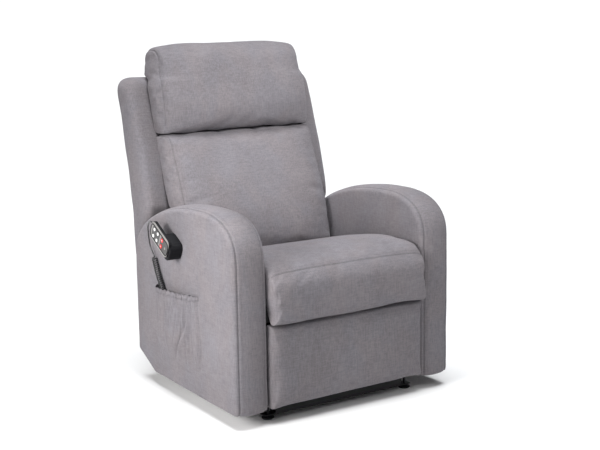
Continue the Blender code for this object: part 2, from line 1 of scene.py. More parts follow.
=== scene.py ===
"""Looks of the lift recliner chair: covers, cushions, pocket, handset lead and finishes.

Metres.  Shapes are written about the chair's own middle plane, x = 0, with the sitter facing -Y;
in_frame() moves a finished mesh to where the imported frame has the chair.
"""

from math import cos, pi, radians, sin

import bpy
import numpy as np
from mathutils import Matrix, Vector, noise
from mathutils.kdtree import KDTree


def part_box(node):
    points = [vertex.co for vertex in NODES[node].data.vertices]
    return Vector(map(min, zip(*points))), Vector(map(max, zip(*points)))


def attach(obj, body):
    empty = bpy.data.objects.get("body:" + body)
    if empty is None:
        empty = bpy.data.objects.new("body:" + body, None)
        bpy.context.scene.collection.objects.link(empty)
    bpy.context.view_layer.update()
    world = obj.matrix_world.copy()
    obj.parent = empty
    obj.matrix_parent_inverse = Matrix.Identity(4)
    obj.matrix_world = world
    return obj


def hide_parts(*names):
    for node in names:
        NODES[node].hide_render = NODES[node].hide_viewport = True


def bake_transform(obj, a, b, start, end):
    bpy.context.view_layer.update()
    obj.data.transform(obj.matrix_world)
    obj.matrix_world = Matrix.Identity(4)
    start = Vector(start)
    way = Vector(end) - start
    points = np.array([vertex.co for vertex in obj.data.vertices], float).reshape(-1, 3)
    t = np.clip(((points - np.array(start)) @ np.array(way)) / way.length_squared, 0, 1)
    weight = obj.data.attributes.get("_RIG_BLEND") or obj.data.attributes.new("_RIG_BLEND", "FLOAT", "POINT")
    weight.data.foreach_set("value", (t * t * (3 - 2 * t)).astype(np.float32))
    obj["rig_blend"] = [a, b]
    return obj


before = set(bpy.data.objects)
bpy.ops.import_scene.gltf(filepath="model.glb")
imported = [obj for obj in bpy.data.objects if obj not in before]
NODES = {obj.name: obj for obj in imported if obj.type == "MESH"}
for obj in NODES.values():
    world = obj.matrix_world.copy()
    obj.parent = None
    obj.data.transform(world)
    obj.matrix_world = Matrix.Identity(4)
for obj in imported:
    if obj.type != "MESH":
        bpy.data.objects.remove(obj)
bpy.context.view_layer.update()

# ---- sizes read from the frame

SEAT_FRONT = -0.430     # the seat's front, from the chair's own origin
left_arm, right_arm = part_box("arm_cover_left"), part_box("arm_cover_right")
ORIGIN = Vector(((left_arm[1].x + right_arm[0].x) / 2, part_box("seat_cushion")[0].y - SEAT_FRONT, 0))


def chair_box(node):
    """A CAD node's lowest and highest corners, about the chair's own middle plane."""
    low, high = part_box(node)
    return low - ORIGIN, high - ORIGIN


ARM_LOW, ARM_HIGH = chair_box("arm_cover_left")
SEAT_LOW, SEAT_HIGH = chair_box("seat_cushion")
BACK_LOW, BACK_HIGH = chair_box("back_cushion")
HEAD_LOW, HEAD_HIGH = chair_box("head_cushion")
SHELL_LOW, SHELL_HIGH = chair_box("back_shell")
PANEL_LOW, PANEL_HIGH = chair_box("footrest_panel")
SKIRT_LOW, SKIRT_HIGH = chair_box("rear_skirt")

# ---- camera


def linked(name, data):
    """A new object in the scene."""
    obj = bpy.data.objects.new(name, data)
    bpy.context.scene.collection.objects.link(obj)
    return obj


CAMERA_PLACE = Vector((-1.983, -3.263, 1.224))
CAMERA_AZIMUTH = radians(-32.38)
CAMERA_PITCH = radians(10.65)
CAMERA_ROLL = radians(-0.88)
CAMERA_LENS = 71.44


def make_camera():
    """The photograph's viewpoint: from the chair's front right corner, a little above the arms."""
    ahead = Vector((-sin(CAMERA_AZIMUTH) * cos(CAMERA_PITCH), cos(CAMERA_AZIMUTH) * cos(CAMERA_PITCH),
                    -sin(CAMERA_PITCH)))
    right = ahead.cross(Vector((0, 0, 1))).normalized()
    up = right.cross(ahead)
    level_right = right
    right = level_right * cos(CAMERA_ROLL) + up * sin(CAMERA_ROLL)
    up = up * cos(CAMERA_ROLL) - level_right * sin(CAMERA_ROLL)
    data = bpy.data.cameras.new("camera")
    data.lens = CAMERA_LENS
    data.clip_end = 60
    camera = linked("camera", data)
    camera.matrix_world = (Matrix.Translation(CAMERA_PLACE + ORIGIN)
                           @ Matrix((right, up, -ahead)).transposed().to_4x4())
    bpy.context.scene.camera = camera


make_camera()

# ---- materials


class Nodes:
    """Short calls for building one material's node tree."""

    def __init__(self, name):
        self.material = bpy.data.materials.new(name)
        self.material.use_nodes = True
        self.tree = self.material.node_tree
        self.shader = self.tree.nodes["Principled BSDF"]
        self.object_space = self.tree.nodes.new("ShaderNodeTexCoord").outputs["Object"]

    def add(self, kind, inputs=(), **settings):
        node = self.tree.nodes.new(kind)
        for key, value in settings.items():
            setattr(node, key, value)
        for key, value in dict(inputs).items():
            self.feed(node.inputs[key], value)
        return node

    def feed(self, socket, value):
        if isinstance(value, bpy.types.NodeSocket):
            self.tree.links.new(value, socket)
        else:
            socket.default_value = value

    def stretched(self, scale):
        """Object coordinates multiplied by a scale, which is one number or one for each axis."""
        scale = scale if isinstance(scale, tuple) else (scale, scale, scale)
        node = self.add("ShaderNodeMapping", {"Vector": self.object_space, "Scale": scale})
        return node.outputs["Vector"]

    def noise(self, scale, detail=2.0, roughness=0.5, distortion=0.0):
        """Noise from 0 to 1 whose grains are 1 / scale metres long on each axis."""
        inputs = {"Vector": self.stretched(scale), "Scale": 1.0, "Detail": detail, "Roughness": roughness,
                  "Distortion": distortion}
        return self.add("ShaderNodeTexNoise", inputs).outputs["Fac"]

    def math(self, operation, a, b=0.0):
        return self.add("ShaderNodeMath", {0: a, 1: b}, operation=operation).outputs[0]

    def spread(self, value, low, high, to_low=0.0, to_high=1.0):
        """A value mapped from one range to another, and held inside it."""
        inputs = {"Value": value, "From Min": low, "From Max": high, "To Min": to_low, "To Max": to_high}
        return self.add("ShaderNodeMapRange", inputs).outputs["Result"]

    def mix(self, factor, a, b):
        node = self.add("ShaderNodeMix", data_type="RGBA")
        for socket, value in ((node.inputs[0], factor), (node.inputs[6], a), (node.inputs[7], b)):
            self.feed(socket, value)
        return node.outputs[2]

    def bump(self, height, strength, distance, under=None):
        inputs = {"Height": height, "Strength": strength, "Distance": distance}
        if under is not None:
            inputs["Normal"] = under
        return self.add("ShaderNodeBump", inputs).outputs["Normal"]

    def finish(self, **sockets):
        for key, value in sockets.items():
            self.feed(self.shader.inputs[key.replace("_", " ")], value)
        return self.material


def rgb(red, green, blue):
    return (red, green, blue, 1.0)


def woven_fabric(name, pale, dark, cool):
    """A matt melange weave: flecked yarn, slubs along the warp and weft, and a slight shot colour.

    A mesh attribute paints shade in, darkest at 1: along seams the needle pulls in, in pocket folds and on
    wing fronts.
    """
    n = Nodes(name)
    layers = (      # slubs, picks, yarn, fleck, cloud: scale, detail, roughness, low end, share of the tone
        ((330, 330, 42), 3.0, 0.62, 0.38, 0.28),
        ((48, 48, 300), 3.0, 0.62, 0.38, 0.22),
        ((900, 900, 240), 2.0, 0.7, 0.36, 0.16),
        (700, 2.0, 0.7, 0.36, 0.16),
        ((8, 8, 6), 4.0, 0.6, 0.34, 0.18),
    )
    tone = 0.0
    for scale, detail, rough, low, share in layers:
        tone = n.math("ADD", tone, n.spread(n.noise(scale, detail, rough), low, 1 - low, 0.0, share))
    shot = n.spread(n.noise((11, 11, 7), 3.0, 0.55, 0.5), 0.40, 0.62)
    colour = n.mix(tone, rgb(*dark), n.mix(shot, rgb(*pale), rgb(*cool)))
    # painted shade: the attribute darkens the colour towards a third of the dark tone, where shade falls
    painted_shade = n.add("ShaderNodeAttribute", attribute_name="painted_shade").outputs["Fac"]
    colour = n.mix(painted_shade, colour, rgb(*[0.35 * c for c in dark]))
    ribs = {"Vector": n.stretched(1), "Scale": 190.0, "Distortion": 1.5, "Detail": 1.0, "Detail Scale": 3.0}
    warp = n.add("ShaderNodeTexWave", ribs, bands_direction="Z").outputs["Fac"]
    weft = n.add("ShaderNodeTexWave", ribs, bands_direction="DIAGONAL").outputs["Fac"]
    weave = n.math("ADD", n.math("MULTIPLY", warp, weft), tone)
    slack = n.bump(n.noise((38, 38, 30), 3.0, 0.5), 0.22, 0.004)
    return n.finish(Base_Color=colour, Roughness=0.92, Normal=n.bump(weave, 0.45, 0.0008, slack),
                    Sheen_Weight=0.12, Sheen_Roughness=0.45, Sheen_Tint=rgb(0.86, 0.84, 0.92),
                    Specular_IOR_Level=0.2)


def moulded(name, pale, dark, rough=(0.38, 0.55), grain=900, **sockets):
    """Plastic with a fine spark texture and slightly uneven gloss."""
    n = Nodes(name)
    spark = n.noise(grain, 2.0, 0.6)
    wear = n.noise(60, 4.0, 0.6)
    return n.finish(Base_Color=n.mix(n.spread(wear, 0.3, 0.75), rgb(*dark), rgb(*pale)),
                    Roughness=n.spread(wear, 0.25, 0.75, *rough), Normal=n.bump(spark, 0.25, 0.0002),
                    **sockets)


def painted_steel(name):
    """Black powder coat, with an orange-peel surface and dusty, rubbed patches."""
    n = Nodes(name)
    rub = n.noise(35, 5.0, 0.7)
    colour = n.mix(n.spread(rub, 0.55, 0.8), rgb(0.005, 0.005, 0.006), rgb(0.014, 0.014, 0.014))
    return n.finish(Base_Color=colour, Roughness=n.spread(rub, 0.3, 0.75, 0.36, 0.6), Metallic=0.15,
                    Normal=n.bump(n.noise(420, 2.0, 0.5), 0.3, 0.0004), Specular_IOR_Level=0.25)


def plated_steel(name):
    """Zinc-plated steel with drawing lines and a patchy passivated tint."""
    n = Nodes(name)
    lines = n.noise((1500, 60, 1500), 3.0, 0.6)
    patch = n.spread(n.noise(45, 3.0, 0.6), 0.35, 0.7)
    return n.finish(Base_Color=n.mix(patch, rgb(0.46, 0.46, 0.47), rgb(0.58, 0.57, 0.53)),
                    Roughness=n.spread(lines, 0.3, 0.7, 0.24, 0.42), Metallic=1.0,
                    Normal=n.bump(lines, 0.2, 0.0002))


def sawn_timber(name):
    """Plain softwood with its grain along Z."""
    n = Nodes(name)
    grain = n.noise((160, 160, 6), 5.0, 0.65, 0.6)
    pores = n.noise((900, 900, 40), 2.0, 0.5)
    return n.finish(Base_Color=n.mix(n.spread(grain, 0.3, 0.7), rgb(0.34, 0.20, 0.10), rgb(0.60, 0.43, 0.25)),
                    Roughness=n.spread(pores, 0.3, 0.7, 0.6, 0.85), Normal=n.bump(grain, 0.35, 0.0006))


def dust_cover(name):
    """Black non-woven lining with a pressed dot pattern."""
    n = Nodes(name)
    cells = n.add("ShaderNodeTexVoronoi", {"Vector": n.stretched(320), "Scale": 1.0}).outputs["Distance"]
    colour = n.mix(n.noise(500, 4.0, 0.7), rgb(0.010, 0.010, 0.011), rgb(0.045, 0.044, 0.046))
    return n.finish(Base_Color=colour, Roughness=0.9, Normal=n.bump(n.spread(cells, 0.1, 0.5), 0.4, 0.0005))


def plain_floor(name):
    n = Nodes(name)
    colour = n.mix(n.noise(3, 2.0, 0.5), rgb(0.785, 0.785, 0.785), rgb(0.805, 0.805, 0.805))
    return n.finish(Base_Color=colour, Roughness=0.9)


FABRIC = woven_fabric("melange_fabric", (0.206, 0.188, 0.198), (0.100, 0.091, 0.098), (0.194, 0.186, 0.204))
THREAD = moulded("sewing_thread", (0.120, 0.108, 0.116), (0.080, 0.070, 0.076), (0.6, 0.8), 2500)
LINING = dust_cover("black_lining")
BLACK_STEEL = painted_steel("powder_coated_steel")
ZINC = plated_steel("zinc_plated_steel")
TIMBER = sawn_timber("sawn_timber")
BLACK_PLASTIC = moulded("black_abs", (0.008, 0.008, 0.010), (0.004, 0.004, 0.005), (0.46, 0.62),
                        Specular_IOR_Level=0.14)
SILVER_PLASTIC = moulded("silver_abs", (0.235, 0.228, 0.220), (0.165, 0.160, 0.156), (0.42, 0.56), 1400,
                         Metallic=0.2)
WHITE_PLASTIC = moulded("white_button", (0.80, 0.80, 0.78), (0.66, 0.66, 0.65), (0.30, 0.45))
RED_PLASTIC = moulded("red_button", (0.66, 0.020, 0.018), (0.48, 0.012, 0.012), (0.28, 0.42))
INLAY_PLASTIC = moulded("printed_inlay", (0.060, 0.058, 0.058), (0.030, 0.030, 0.031), (0.40, 0.55), 1400)
RUBBER = moulded("cord_sheath", (0.010, 0.010, 0.011), (0.005, 0.005, 0.006), (0.24, 0.34), 1600,
                 Specular_IOR_Level=0.7)

NODE_FINISHES = (       # a finish, and how the names of the CAD nodes that take it start
    (BLACK_STEEL, ("base_", "foot_plate", "lift_link", "stabiliser", "lift_torque", "side_plate",
                   "back_hinge", "carriage_cross", "footrest_link", "footrest_coupler",
                   "lift_motor_bracket")),
    (ZINC, ("lift_motor_rod", "back_motor_rod")),
    (BLACK_PLASTIC, ("lift_motor_housing", "back_motor_housing", "glide_", "power_box", "handset_holder",
                     "handset_shell", "pocket_grommet")),
    (SILVER_PLASTIC, ("handset_face", "button_light")),
    (LINING, ("seat_rail", "seat_deck", "back_post")),
    (TIMBER, ("arm_post",)),
    (RED_PLASTIC, ("button_lift",)),
    (WHITE_PLASTIC, ("button_back", "button_feet")),
)


def finish_nodes():
    """Give every CAD node that stays its finish."""
    for material, starts in NODE_FINISHES:
        for name, obj in NODES.items():
            if name.startswith(starts):
                obj.data.materials.clear()
                obj.data.materials.append(material)


finish_nodes()

# ---- mesh helpers

SEAM_CREASE = 0.7       # how sharp a seam stays when its cover is smoothed
CLOTH_THICKNESS = 0.0011


def quads(grid, closed=False):
    """Faces between neighbouring rows of a grid of vertex numbers, whose rows may be closed rings."""
    grid = np.asarray(grid)
    here, following = (grid, np.roll(grid, -1, axis=1)) if closed else (grid[:, :-1], grid[:, 1:])
    return np.stack([here[:-1], following[:-1], following[1:], here[1:]], axis=-1).reshape(-1, 4).tolist()


def edges_along(line, closed=False):
    """Neighbouring pairs along a line of vertex numbers."""
    line = [int(i) for i in line]
    return list(zip(line, line[1:] + line[:1] if closed else line[1:]))


def make_mesh(name, verts, faces, material, creases=()):
    """A mesh object in chair coordinates, with its sharp seams as (a, b) vertex pairs."""
    mesh = bpy.data.meshes.new(name)
    mesh.from_pydata([tuple(v) for v in verts], [], faces)
    mesh.materials.append(material)
    mesh.shade_smooth()
    obj = linked(name, mesh)
    if len(creases):
        wanted = {frozenset(pair) for pair in creases}
        sharp = [SEAM_CREASE if frozenset(edge.vertices) in wanted else 0.0 for edge in mesh.edges]
        crease = mesh.attributes.new("crease_edge", "FLOAT", "EDGE")
        crease.data.foreach_set("value", sharp)
    return obj


def places(obj):
    co = np.empty(len(obj.data.vertices) * 3)
    obj.data.vertices.foreach_get("co", co)
    return co.reshape(-1, 3)


def set_places(obj, co):
    obj.data.vertices.foreach_set("co", np.asarray(co, float).ravel())
    obj.data.update()


def normals(obj):
    out = np.empty(len(obj.data.vertices) * 3)
    obj.data.vertex_normals.foreach_get("vector", out)
    return out.reshape(-1, 3)


def apply_modifiers(obj):
    """Swap the mesh for what its modifiers make of it."""
    obj.data = bpy.data.meshes.new_from_object(obj.evaluated_get(bpy.context.evaluated_depsgraph_get()))
    obj.modifiers.clear()


def subdivide(obj, levels=1):
    step = obj.modifiers.new("smooth", "SUBSURF")
    step.levels = step.render_levels = levels
    step.boundary_smooth = "PRESERVE_CORNERS"
    apply_modifiers(obj)


def thicken(obj):
    """Give a sheet the thickness of its cloth."""
    step = obj.modifiers.new("cloth_thickness", "SOLIDIFY")
    step.thickness = CLOTH_THICKNESS
    step.offset = 0
    apply_modifiers(obj)


def in_frame(obj, body, replaces=()):
    """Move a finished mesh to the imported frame, and let it ride on a body."""
    obj.data.transform(Matrix.Translation(ORIGIN))
    if body:
        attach(obj, body)
    if replaces:
        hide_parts(*replaces)
    return obj


def resample(points, count):
    """count + 1 points evenly along a line through the given ones."""
    points = np.asarray(points, float)
    walked = np.concatenate([[0], np.cumsum(np.linalg.norm(np.diff(points, axis=0), axis=1))])
    at = np.linspace(0, walked[-1], count + 1)
    return np.stack([np.interp(at, walked, points[:, k]) for k in range(points.shape[1])], axis=1)


def smooth_line(points, per_span=24):
    """A smooth curve through points, as a finer line."""
    knots = np.asarray(points, float)
    knots = np.vstack([2 * knots[0] - knots[1], knots, 2 * knots[-1] - knots[-2]])
    line = []
    for a, b, c, d in zip(knots, knots[1:], knots[2:], knots[3:]):
        for t in np.linspace(0, 1, per_span, endpoint=False):
            line.append(0.5 * (2 * b + (c - a) * t + (2 * a - 5 * b + 4 * c - d) * t ** 2
                               + (3 * b - a - 3 * c + d) * t ** 3))
    return np.array(line + [knots[-2]])


def arc(centre, half_a, half_b, start, end, blunt=2.0, steps=24):
    """Points on a superellipse between two angles in degrees."""
    turns = np.radians(np.linspace(start, end, steps + 1))
    across = np.sign(np.cos(turns)) * np.abs(np.cos(turns)) ** (2 / blunt)
    up = np.sign(np.sin(turns)) * np.abs(np.sin(turns)) ** (2 / blunt)
    return np.stack([centre[0] + half_a * across, centre[1] + half_b * up], axis=1)


def wave(values, seed):
    """Smooth seeded noise along a line, about -1 to 1."""
    return np.array([noise.noise(Vector((float(v), seed * 7.31, seed * 1.7))) * 1.6 for v in values])


def roughen(co, size, seed):
    """Smooth seeded noise at each point, about -1 to 1, with waves of the given size."""
    shift = Vector((seed * 3.7, seed * 1.3, seed * 5.1))
    return np.array([noise.noise(Vector(p) / size + shift) * 1.6 for p in co])


def smooth_step(values, low, high):
    t = np.clip((np.asarray(values, float) - low) / (high - low), 0, 1)
    return t * t * (3 - 2 * t)


class Slab:
    """A padded form: one side outline carried across X, closed by a panel at each end.

    outline is four lines of (a, b) points, bottom, rear, top and front, each starting where the last ends.
    cells are how many steps the bottom and the rear have, and the top and the front the same.
    columns are (x, inset) across the form, and shares scale the inset at the front, rear, bottom and top.
    """

    def __init__(self, outline, cells, columns, centre, shares=(1, 1, 1, 1)):
        counts = tuple(cells) * 2
        self.corners = np.concatenate([[0], np.cumsum(counts)])
        ring = np.vstack([resample(line, n)[:-1] for line, n in zip(outline, counts)])
        middle = np.array(centre)
        offset = ring - middle
        share_low, share_high = np.array([shares[0], shares[2]]), np.array([shares[1], shares[3]])
        reach = np.where(offset < 0, (middle - ring.min(0)) / share_low, (ring.max(0) - middle) / share_high)
        verts = [np.column_stack([np.full(len(ring), x), middle + offset * (1 - inset / reach)])
                 for x, inset in columns]
        self.rings = np.arange(len(columns) * len(ring)).reshape(len(columns), len(ring))
        self.faces = quads(self.rings, closed=True)
        self.caps = []
        count = self.rings.size
        for k, turn in ((0, -1), (len(columns) - 1, 1)):
            cap, inner = self._cap(verts[k], self.rings[k], count, cells)
            verts.append(inner)
            count += len(inner)
            self.caps.append(cap)
            panel = np.stack([cap[:-1, :-1], cap[1:, :-1], cap[1:, 1:], cap[:-1, 1:]], axis=-1).reshape(-1, 4)
            self.faces += panel[:, ::turn].tolist()
        self.verts = np.vstack(verts)

    def _cap(self, ring, index, start, cells):
        """A grid of vertex numbers filling one end ring, and the places of its inner points."""
        n, m = cells
        c = self.corners
        wrap = np.append(np.arange(len(ring)), 0)
        bottom, rear = wrap[c[0]:c[1] + 1], wrap[c[1]:c[2] + 1]
        top, front = wrap[c[2]:c[3] + 1][::-1], wrap[c[3]:c[4] + 1][::-1]
        u = np.linspace(0, 1, n + 1)[:, None, None]
        v = np.linspace(0, 1, m + 1)[None, :, None]
        p_bottom, p_top = ring[bottom][:, None], ring[top][:, None]
        p_front, p_rear = ring[front][None], ring[rear][None]
        corner = ((1 - u) * (1 - v) * ring[bottom[0]] + u * (1 - v) * ring[bottom[-1]]
                  + (1 - u) * v * ring[top[0]] + u * v * ring[top[-1]])
        patch = (1 - v) * p_bottom + v * p_top + (1 - u) * p_front + u * p_rear - corner
        grid = np.empty((n + 1, m + 1), int)
        grid[:, 0], grid[:, m], grid[0], grid[n] = index[bottom], index[top], index[front], index[rear]
        grid[1:n, 1:m] = start + np.arange((n - 1) * (m - 1)).reshape(n - 1, m - 1)
        return grid, patch[1:n, 1:m].reshape(-1, 3)

    def bulge_caps(self, height, power=2):
        """Push the end panels outwards, most in the middle."""
        for cap, sign in zip(self.caps, (-1, 1)):
            u, v = (1 - np.abs(np.linspace(-1, 1, n)) ** power for n in cap.shape)
            self.verts[cap.ravel(), 0] += sign * height * np.outer(u, v).ravel()

    def side_seams(self, columns, span):
        """The edges along the same part of several columns' rings."""
        return [pair for column in columns for pair in edges_along(self.rings[column, slice(*span)])]

    def mesh(self, name, creases=()):
        return make_mesh(name, self.verts, self.faces, FABRIC, creases)


def rounded_edge(x, inset, radius, sign, steps=4):
    """Columns of a quarter-round edge, from the flat end panel to the seam beside it."""
    found = []
    for step in range(steps + 1):
        turn = pi / 2 * step / steps
        found.append((x + sign * radius * (1 - cos(turn)), inset + radius * (1 - sin(turn))))
    return found


def inflate(obj, pinned, pressure, swell, cap, frames=14, bending=0.4):
    """Puff a cover up by cloth simulation, with its seams held; no point moves further than cap."""
    before = places(obj)
    group = obj.vertex_groups.new(name="held")
    for weight, indices in pinned:
        group.add([int(i) for i in indices], weight, "REPLACE")
    cloth = obj.modifiers.new("cloth", "CLOTH")
    settings = cloth.settings
    settings.quality = 6
    settings.mass = 0.25
    settings.tension_stiffness = settings.compression_stiffness = 18
    settings.shear_stiffness = 8
    settings.bending_stiffness = bending
    settings.air_damping = 2
    settings.vertex_group_mass = "held"
    settings.use_pressure = True
    settings.uniform_pressure_force = pressure
    settings.shrink_min = -swell
    settings.effector_weights.gravity = 0
    cloth.collision_settings.use_collision = False
    cloth.point_cache.frame_start = 1
    cloth.point_cache.frame_end = frames
    scene = bpy.context.scene
    for number in range(1, frames + 1):
        scene.frame_set(number)
    evaluated = obj.evaluated_get(bpy.context.evaluated_depsgraph_get())
    after = places(evaluated)
    obj.modifiers.clear()
    obj.vertex_groups.clear()
    scene.frame_set(1)
    moved = after - before
    length = np.linalg.norm(moved, axis=1, keepdims=True)
    moved *= cap * np.tanh(length / cap) / np.maximum(length, 1e-9)
    set_places(obj, before + moved)


def set_shade(obj, values):
    """Store each point's painted shade, deepest in a seam or a fold, which darkens the fabric's colour."""
    attributes = obj.data.attributes
    attribute = attributes.get("painted_shade") or attributes.new("painted_shade", "FLOAT", "POINT")
    attribute.data.foreach_set("value", np.asarray(values, np.float32))


def shade_seams(obj, lines, depth=0.5, reach=0.0032):
    """Shade each point by how near it is to the seam lines."""
    spots = [Vector(p) for line in lines for p in resample(line, max(2, int(len(line) * 4)))]
    tree = KDTree(len(spots))
    for number, spot in enumerate(spots):
        tree.insert(spot, number)
    tree.balance()
    near = np.array([tree.find(Vector(p))[2] for p in places(obj)])
    set_shade(obj, depth * np.exp(-(near / reach) ** 2))


def upholster(name, form, edges, uneven, seam_depth=0.0, puff=None, change=None):
    """A cover made from its form: puffed up, a little uneven, drawn in at its seams, and smoothed.

    uneven is the height, size and seed of its waves, puff is what inflate() takes, and change is a last
    change of shape, made from the places and normals of its points.
    """
    obj = form.mesh(name, edges)
    if puff:
        inflate(obj, *puff)
    co, out = places(obj), normals(obj)
    height, size, seed = uneven
    co += out * (height * roughen(co, size, seed))[:, None]
    if change:
        co = change(co, out)
    set_places(obj, co)
    if edges:
        press_seams(obj, edges, seam_depth)
    subdivide(obj)
    return obj


def press_seams(obj, edges, depth):
    """Draw seam points into the padding."""
    held = sorted({i for pair in edges for i in pair})
    co, out = places(obj), normals(obj)
    co[held] -= out[held] * depth
    set_places(obj, co)


def stitches(name, line, out, body, length=0.0034, gap=0.0016, radius=0.00042, lift=0.0002):
    """A row of thread stitches along a line of points on a surface with the given normals."""
    line, out = np.asarray(line), np.asarray(out)
    walked = np.concatenate([[0], np.cumsum(np.linalg.norm(np.diff(line, axis=0), axis=1))])
    shape = ((0.0, 0.35), (0.18, 0.9), (0.5, 1.1), (0.82, 0.9), (1.0, 0.35))    # share of length, of radius
    sides = 6

    def found(values, distance):
        return np.array([np.interp(distance, walked, values[:, axis]) for axis in range(3)])

    verts, faces = [], []
    for k in range(int(walked[-1] // (length + gap))):
        start = (k + 0.15) * (length + gap)
        spots = [found(line, start + length * t) for t, _ in shape]
        normal = found(out, start + length / 2)
        normal /= max(np.linalg.norm(normal), 1e-9)
        along = spots[-1] - spots[0]
        along /= max(np.linalg.norm(along), 1e-9)
        side = np.cross(along, normal)
        grid = len(verts) + np.arange(len(shape) * sides).reshape(len(shape), sides)
        for spot, (_, share) in zip(spots, shape):
            for turn in np.arange(sides) * 2 * pi / sides:
                round_it = side * cos(turn) + normal * sin(turn)
                verts.append(spot + normal * lift + radius * share * round_it)
        faces += quads(grid, closed=True) + [grid[0, ::-1].tolist(), grid[-1].tolist()]
    return in_frame(make_mesh(name, verts, faces, THREAD), body)


def sew(obj, form, label, body, seams, beside, span, shade):
    """Shade part of a cover's two seams, and topstitch so many columns beside them."""
    co, out = places(obj), normals(obj)
    run = slice(*span)
    shade_seams(obj, [co[form.rings[column, run]] for column in seams], shade)
    for column, letter in zip((seams[0] + beside, seams[1] - beside), "ab"):
        row = form.rings[column, run]
        stitches(f"{label}_topstitch_{letter}", co[row], out[row], body)


def put_in_place(obj, body, node):
    """Let a finished cover ride on its body in place of its CAD node."""
    in_frame(obj, body, replaces=[node])


# ---- handset lead

LEAD_DIAMETER = 0.0045
COIL_DIAMETER = 0.0195
HANDSET_CENTRE = (-0.026, 0.516)
HANDSET_SLOPE = radians(28)
HANDSET_HALF_LENGTH = 0.0625
GROMMET = (-0.3918, 0.010, 0.150)
COIL_X = -0.4030


def on_handset(t, s):
    """A place on the handset, t towards its lower front end and s across it, as (y, z)."""
    return (HANDSET_CENTRE[0] - t * cos(HANDSET_SLOPE) - s * sin(HANDSET_SLOPE),
            HANDSET_CENTRE[1] - t * sin(HANDSET_SLOPE) + s * cos(HANDSET_SLOPE))


def handset_lead():
    """One lead from the grommet in the pocket, up through its curly part, to the handset's upper end."""
    start = on_handset(-HANDSET_HALF_LENGTH, 0.010)
    lead = [(-0.4335, *start), (-0.4335, start[0] + 0.012, start[1] + 0.007),
            (-0.429, start[0] + 0.036, start[1] + 0.003), (-0.419, 0.095, 0.538), (-0.410, 0.112, 0.503),
            (-0.4050, 0.112, 0.468), (-0.4030, 0.097, 0.440)]
    coil = [(COIL_X, y, z) for y, z in ((0.0930, 0.4370), (0.0820, 0.415), (0.0660, 0.386), (0.0460, 0.356),
                                        (0.0220, 0.312), (0.0060, 0.262), (0.0020, 0.215), (0.0060, 0.172))]
    axis = smooth_line(coil[::-1])
    length = np.linalg.norm(np.diff(axis, axis=0), axis=1).sum()
    pitch = LEAD_DIAMETER * 1.5
    turns = round((length - 0.004) / pitch)
    per_turn = 14
    centre = resample(axis, turns * per_turn)
    ahead = np.gradient(centre, axis=0)
    ahead /= np.linalg.norm(ahead, axis=1, keepdims=True)
    side = np.tile([1.0, 0.0, 0.0], (len(centre), 1))
    third = np.cross(ahead, side)
    radius = (COIL_DIAMETER - LEAD_DIAMETER) / 2
    angle = 2 * pi * np.arange(len(centre)) / per_turn
    fade = np.clip(np.minimum(np.arange(len(centre)), np.arange(len(centre))[::-1]) / per_turn, 0, 1)
    around = side * np.cos(angle)[:, None] + third * np.sin(angle)[:, None]
    helix = centre + (radius * fade ** 0.5)[:, None] * around
    tail = smooth_line([GROMMET, (-0.3945, 0.0095, 0.1530), (-0.3985, 0.0080, 0.1620), tuple(helix[1])], 8)
    top = smooth_line([tuple(helix[-2])] + lead[::-1][1:], 10)
    route = np.vstack([tail[:-1], helix[1:-1], top[1:]])
    curve = bpy.data.curves.new("handset_lead_curly", "CURVE")
    curve.dimensions = "3D"
    curve.bevel_depth = LEAD_DIAMETER / 2
    curve.bevel_resolution = 2
    curve.use_fill_caps = True
    line = curve.splines.new("POLY")
    line.points.add(len(route) - 1)
    for point, place in zip(line.points, route):
        point.co = (*(Vector(place) + ORIGIN), 1)
    line.use_smooth = True
    curve.materials.append(RUBBER)
    obj = linked("handset_lead_curly", curve)
    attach(obj, "seat_carriage")
    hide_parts("handset_lead", "handset_coil")


handset_lead()

HANDSET_FACE_X = 0.440
BUTTON_TOP_X = 0.4418
FACE_HALF_WIDTH = 0.024
FACE_SPAN = (-HANDSET_HALF_LENGTH, HANDSET_HALF_LENGTH)
INLAY_HALF_WIDTH = 0.0195
RIM = (     # margin round the face, corner radius and x of the rim's loops, from the outside in
    (-0.0002, 0.0150, 0.4392), (-0.0008, 0.0144, 0.4411), (-0.0034, 0.0120, 0.4411),
    (-0.0038, 0.0116, 0.4398))
PAIRS = {"back": (-0.036, 0.012, 0.0022), "feet": (-0.012, 0.012, 0.0022), "lift": (0.020, 0.011, 0.0028)}


def face_outline(margin, radius, span=FACE_SPAN, half_width=FACE_HALF_WIDTH, steps=5):
    """Points (t, s) round a rounded rectangle on the handset's face."""
    low, high = span[0] - margin + radius, span[1] + margin - radius
    side = half_width + margin - radius
    points = []
    for t, s, first in ((high, side, 0), (low, side, 90), (low, -side, 180), (high, -side, 270)):
        for turn in np.radians(np.linspace(first, first + 90, steps + 1)):
            points.append((t + radius * cos(turn), s + radius * sin(turn)))
    return points


def on_face(name, loops, depths, material, body, capped=True):
    """A thin piece on the handset's face: matching loops of (t, s), each at its own x, open or capped."""
    verts = [(-depth, *on_handset(t, s)) for loop, depth in zip(loops, depths) for t, s in loop]
    grid = np.arange(len(verts)).reshape(len(loops), -1)
    faces = quads(grid, closed=True)
    if capped:
        faces.append(grid[-1].tolist())
    obj = make_mesh(name, verts, faces, material)
    if capped:
        obj.data.shade_flat()
    return in_frame(obj, body)


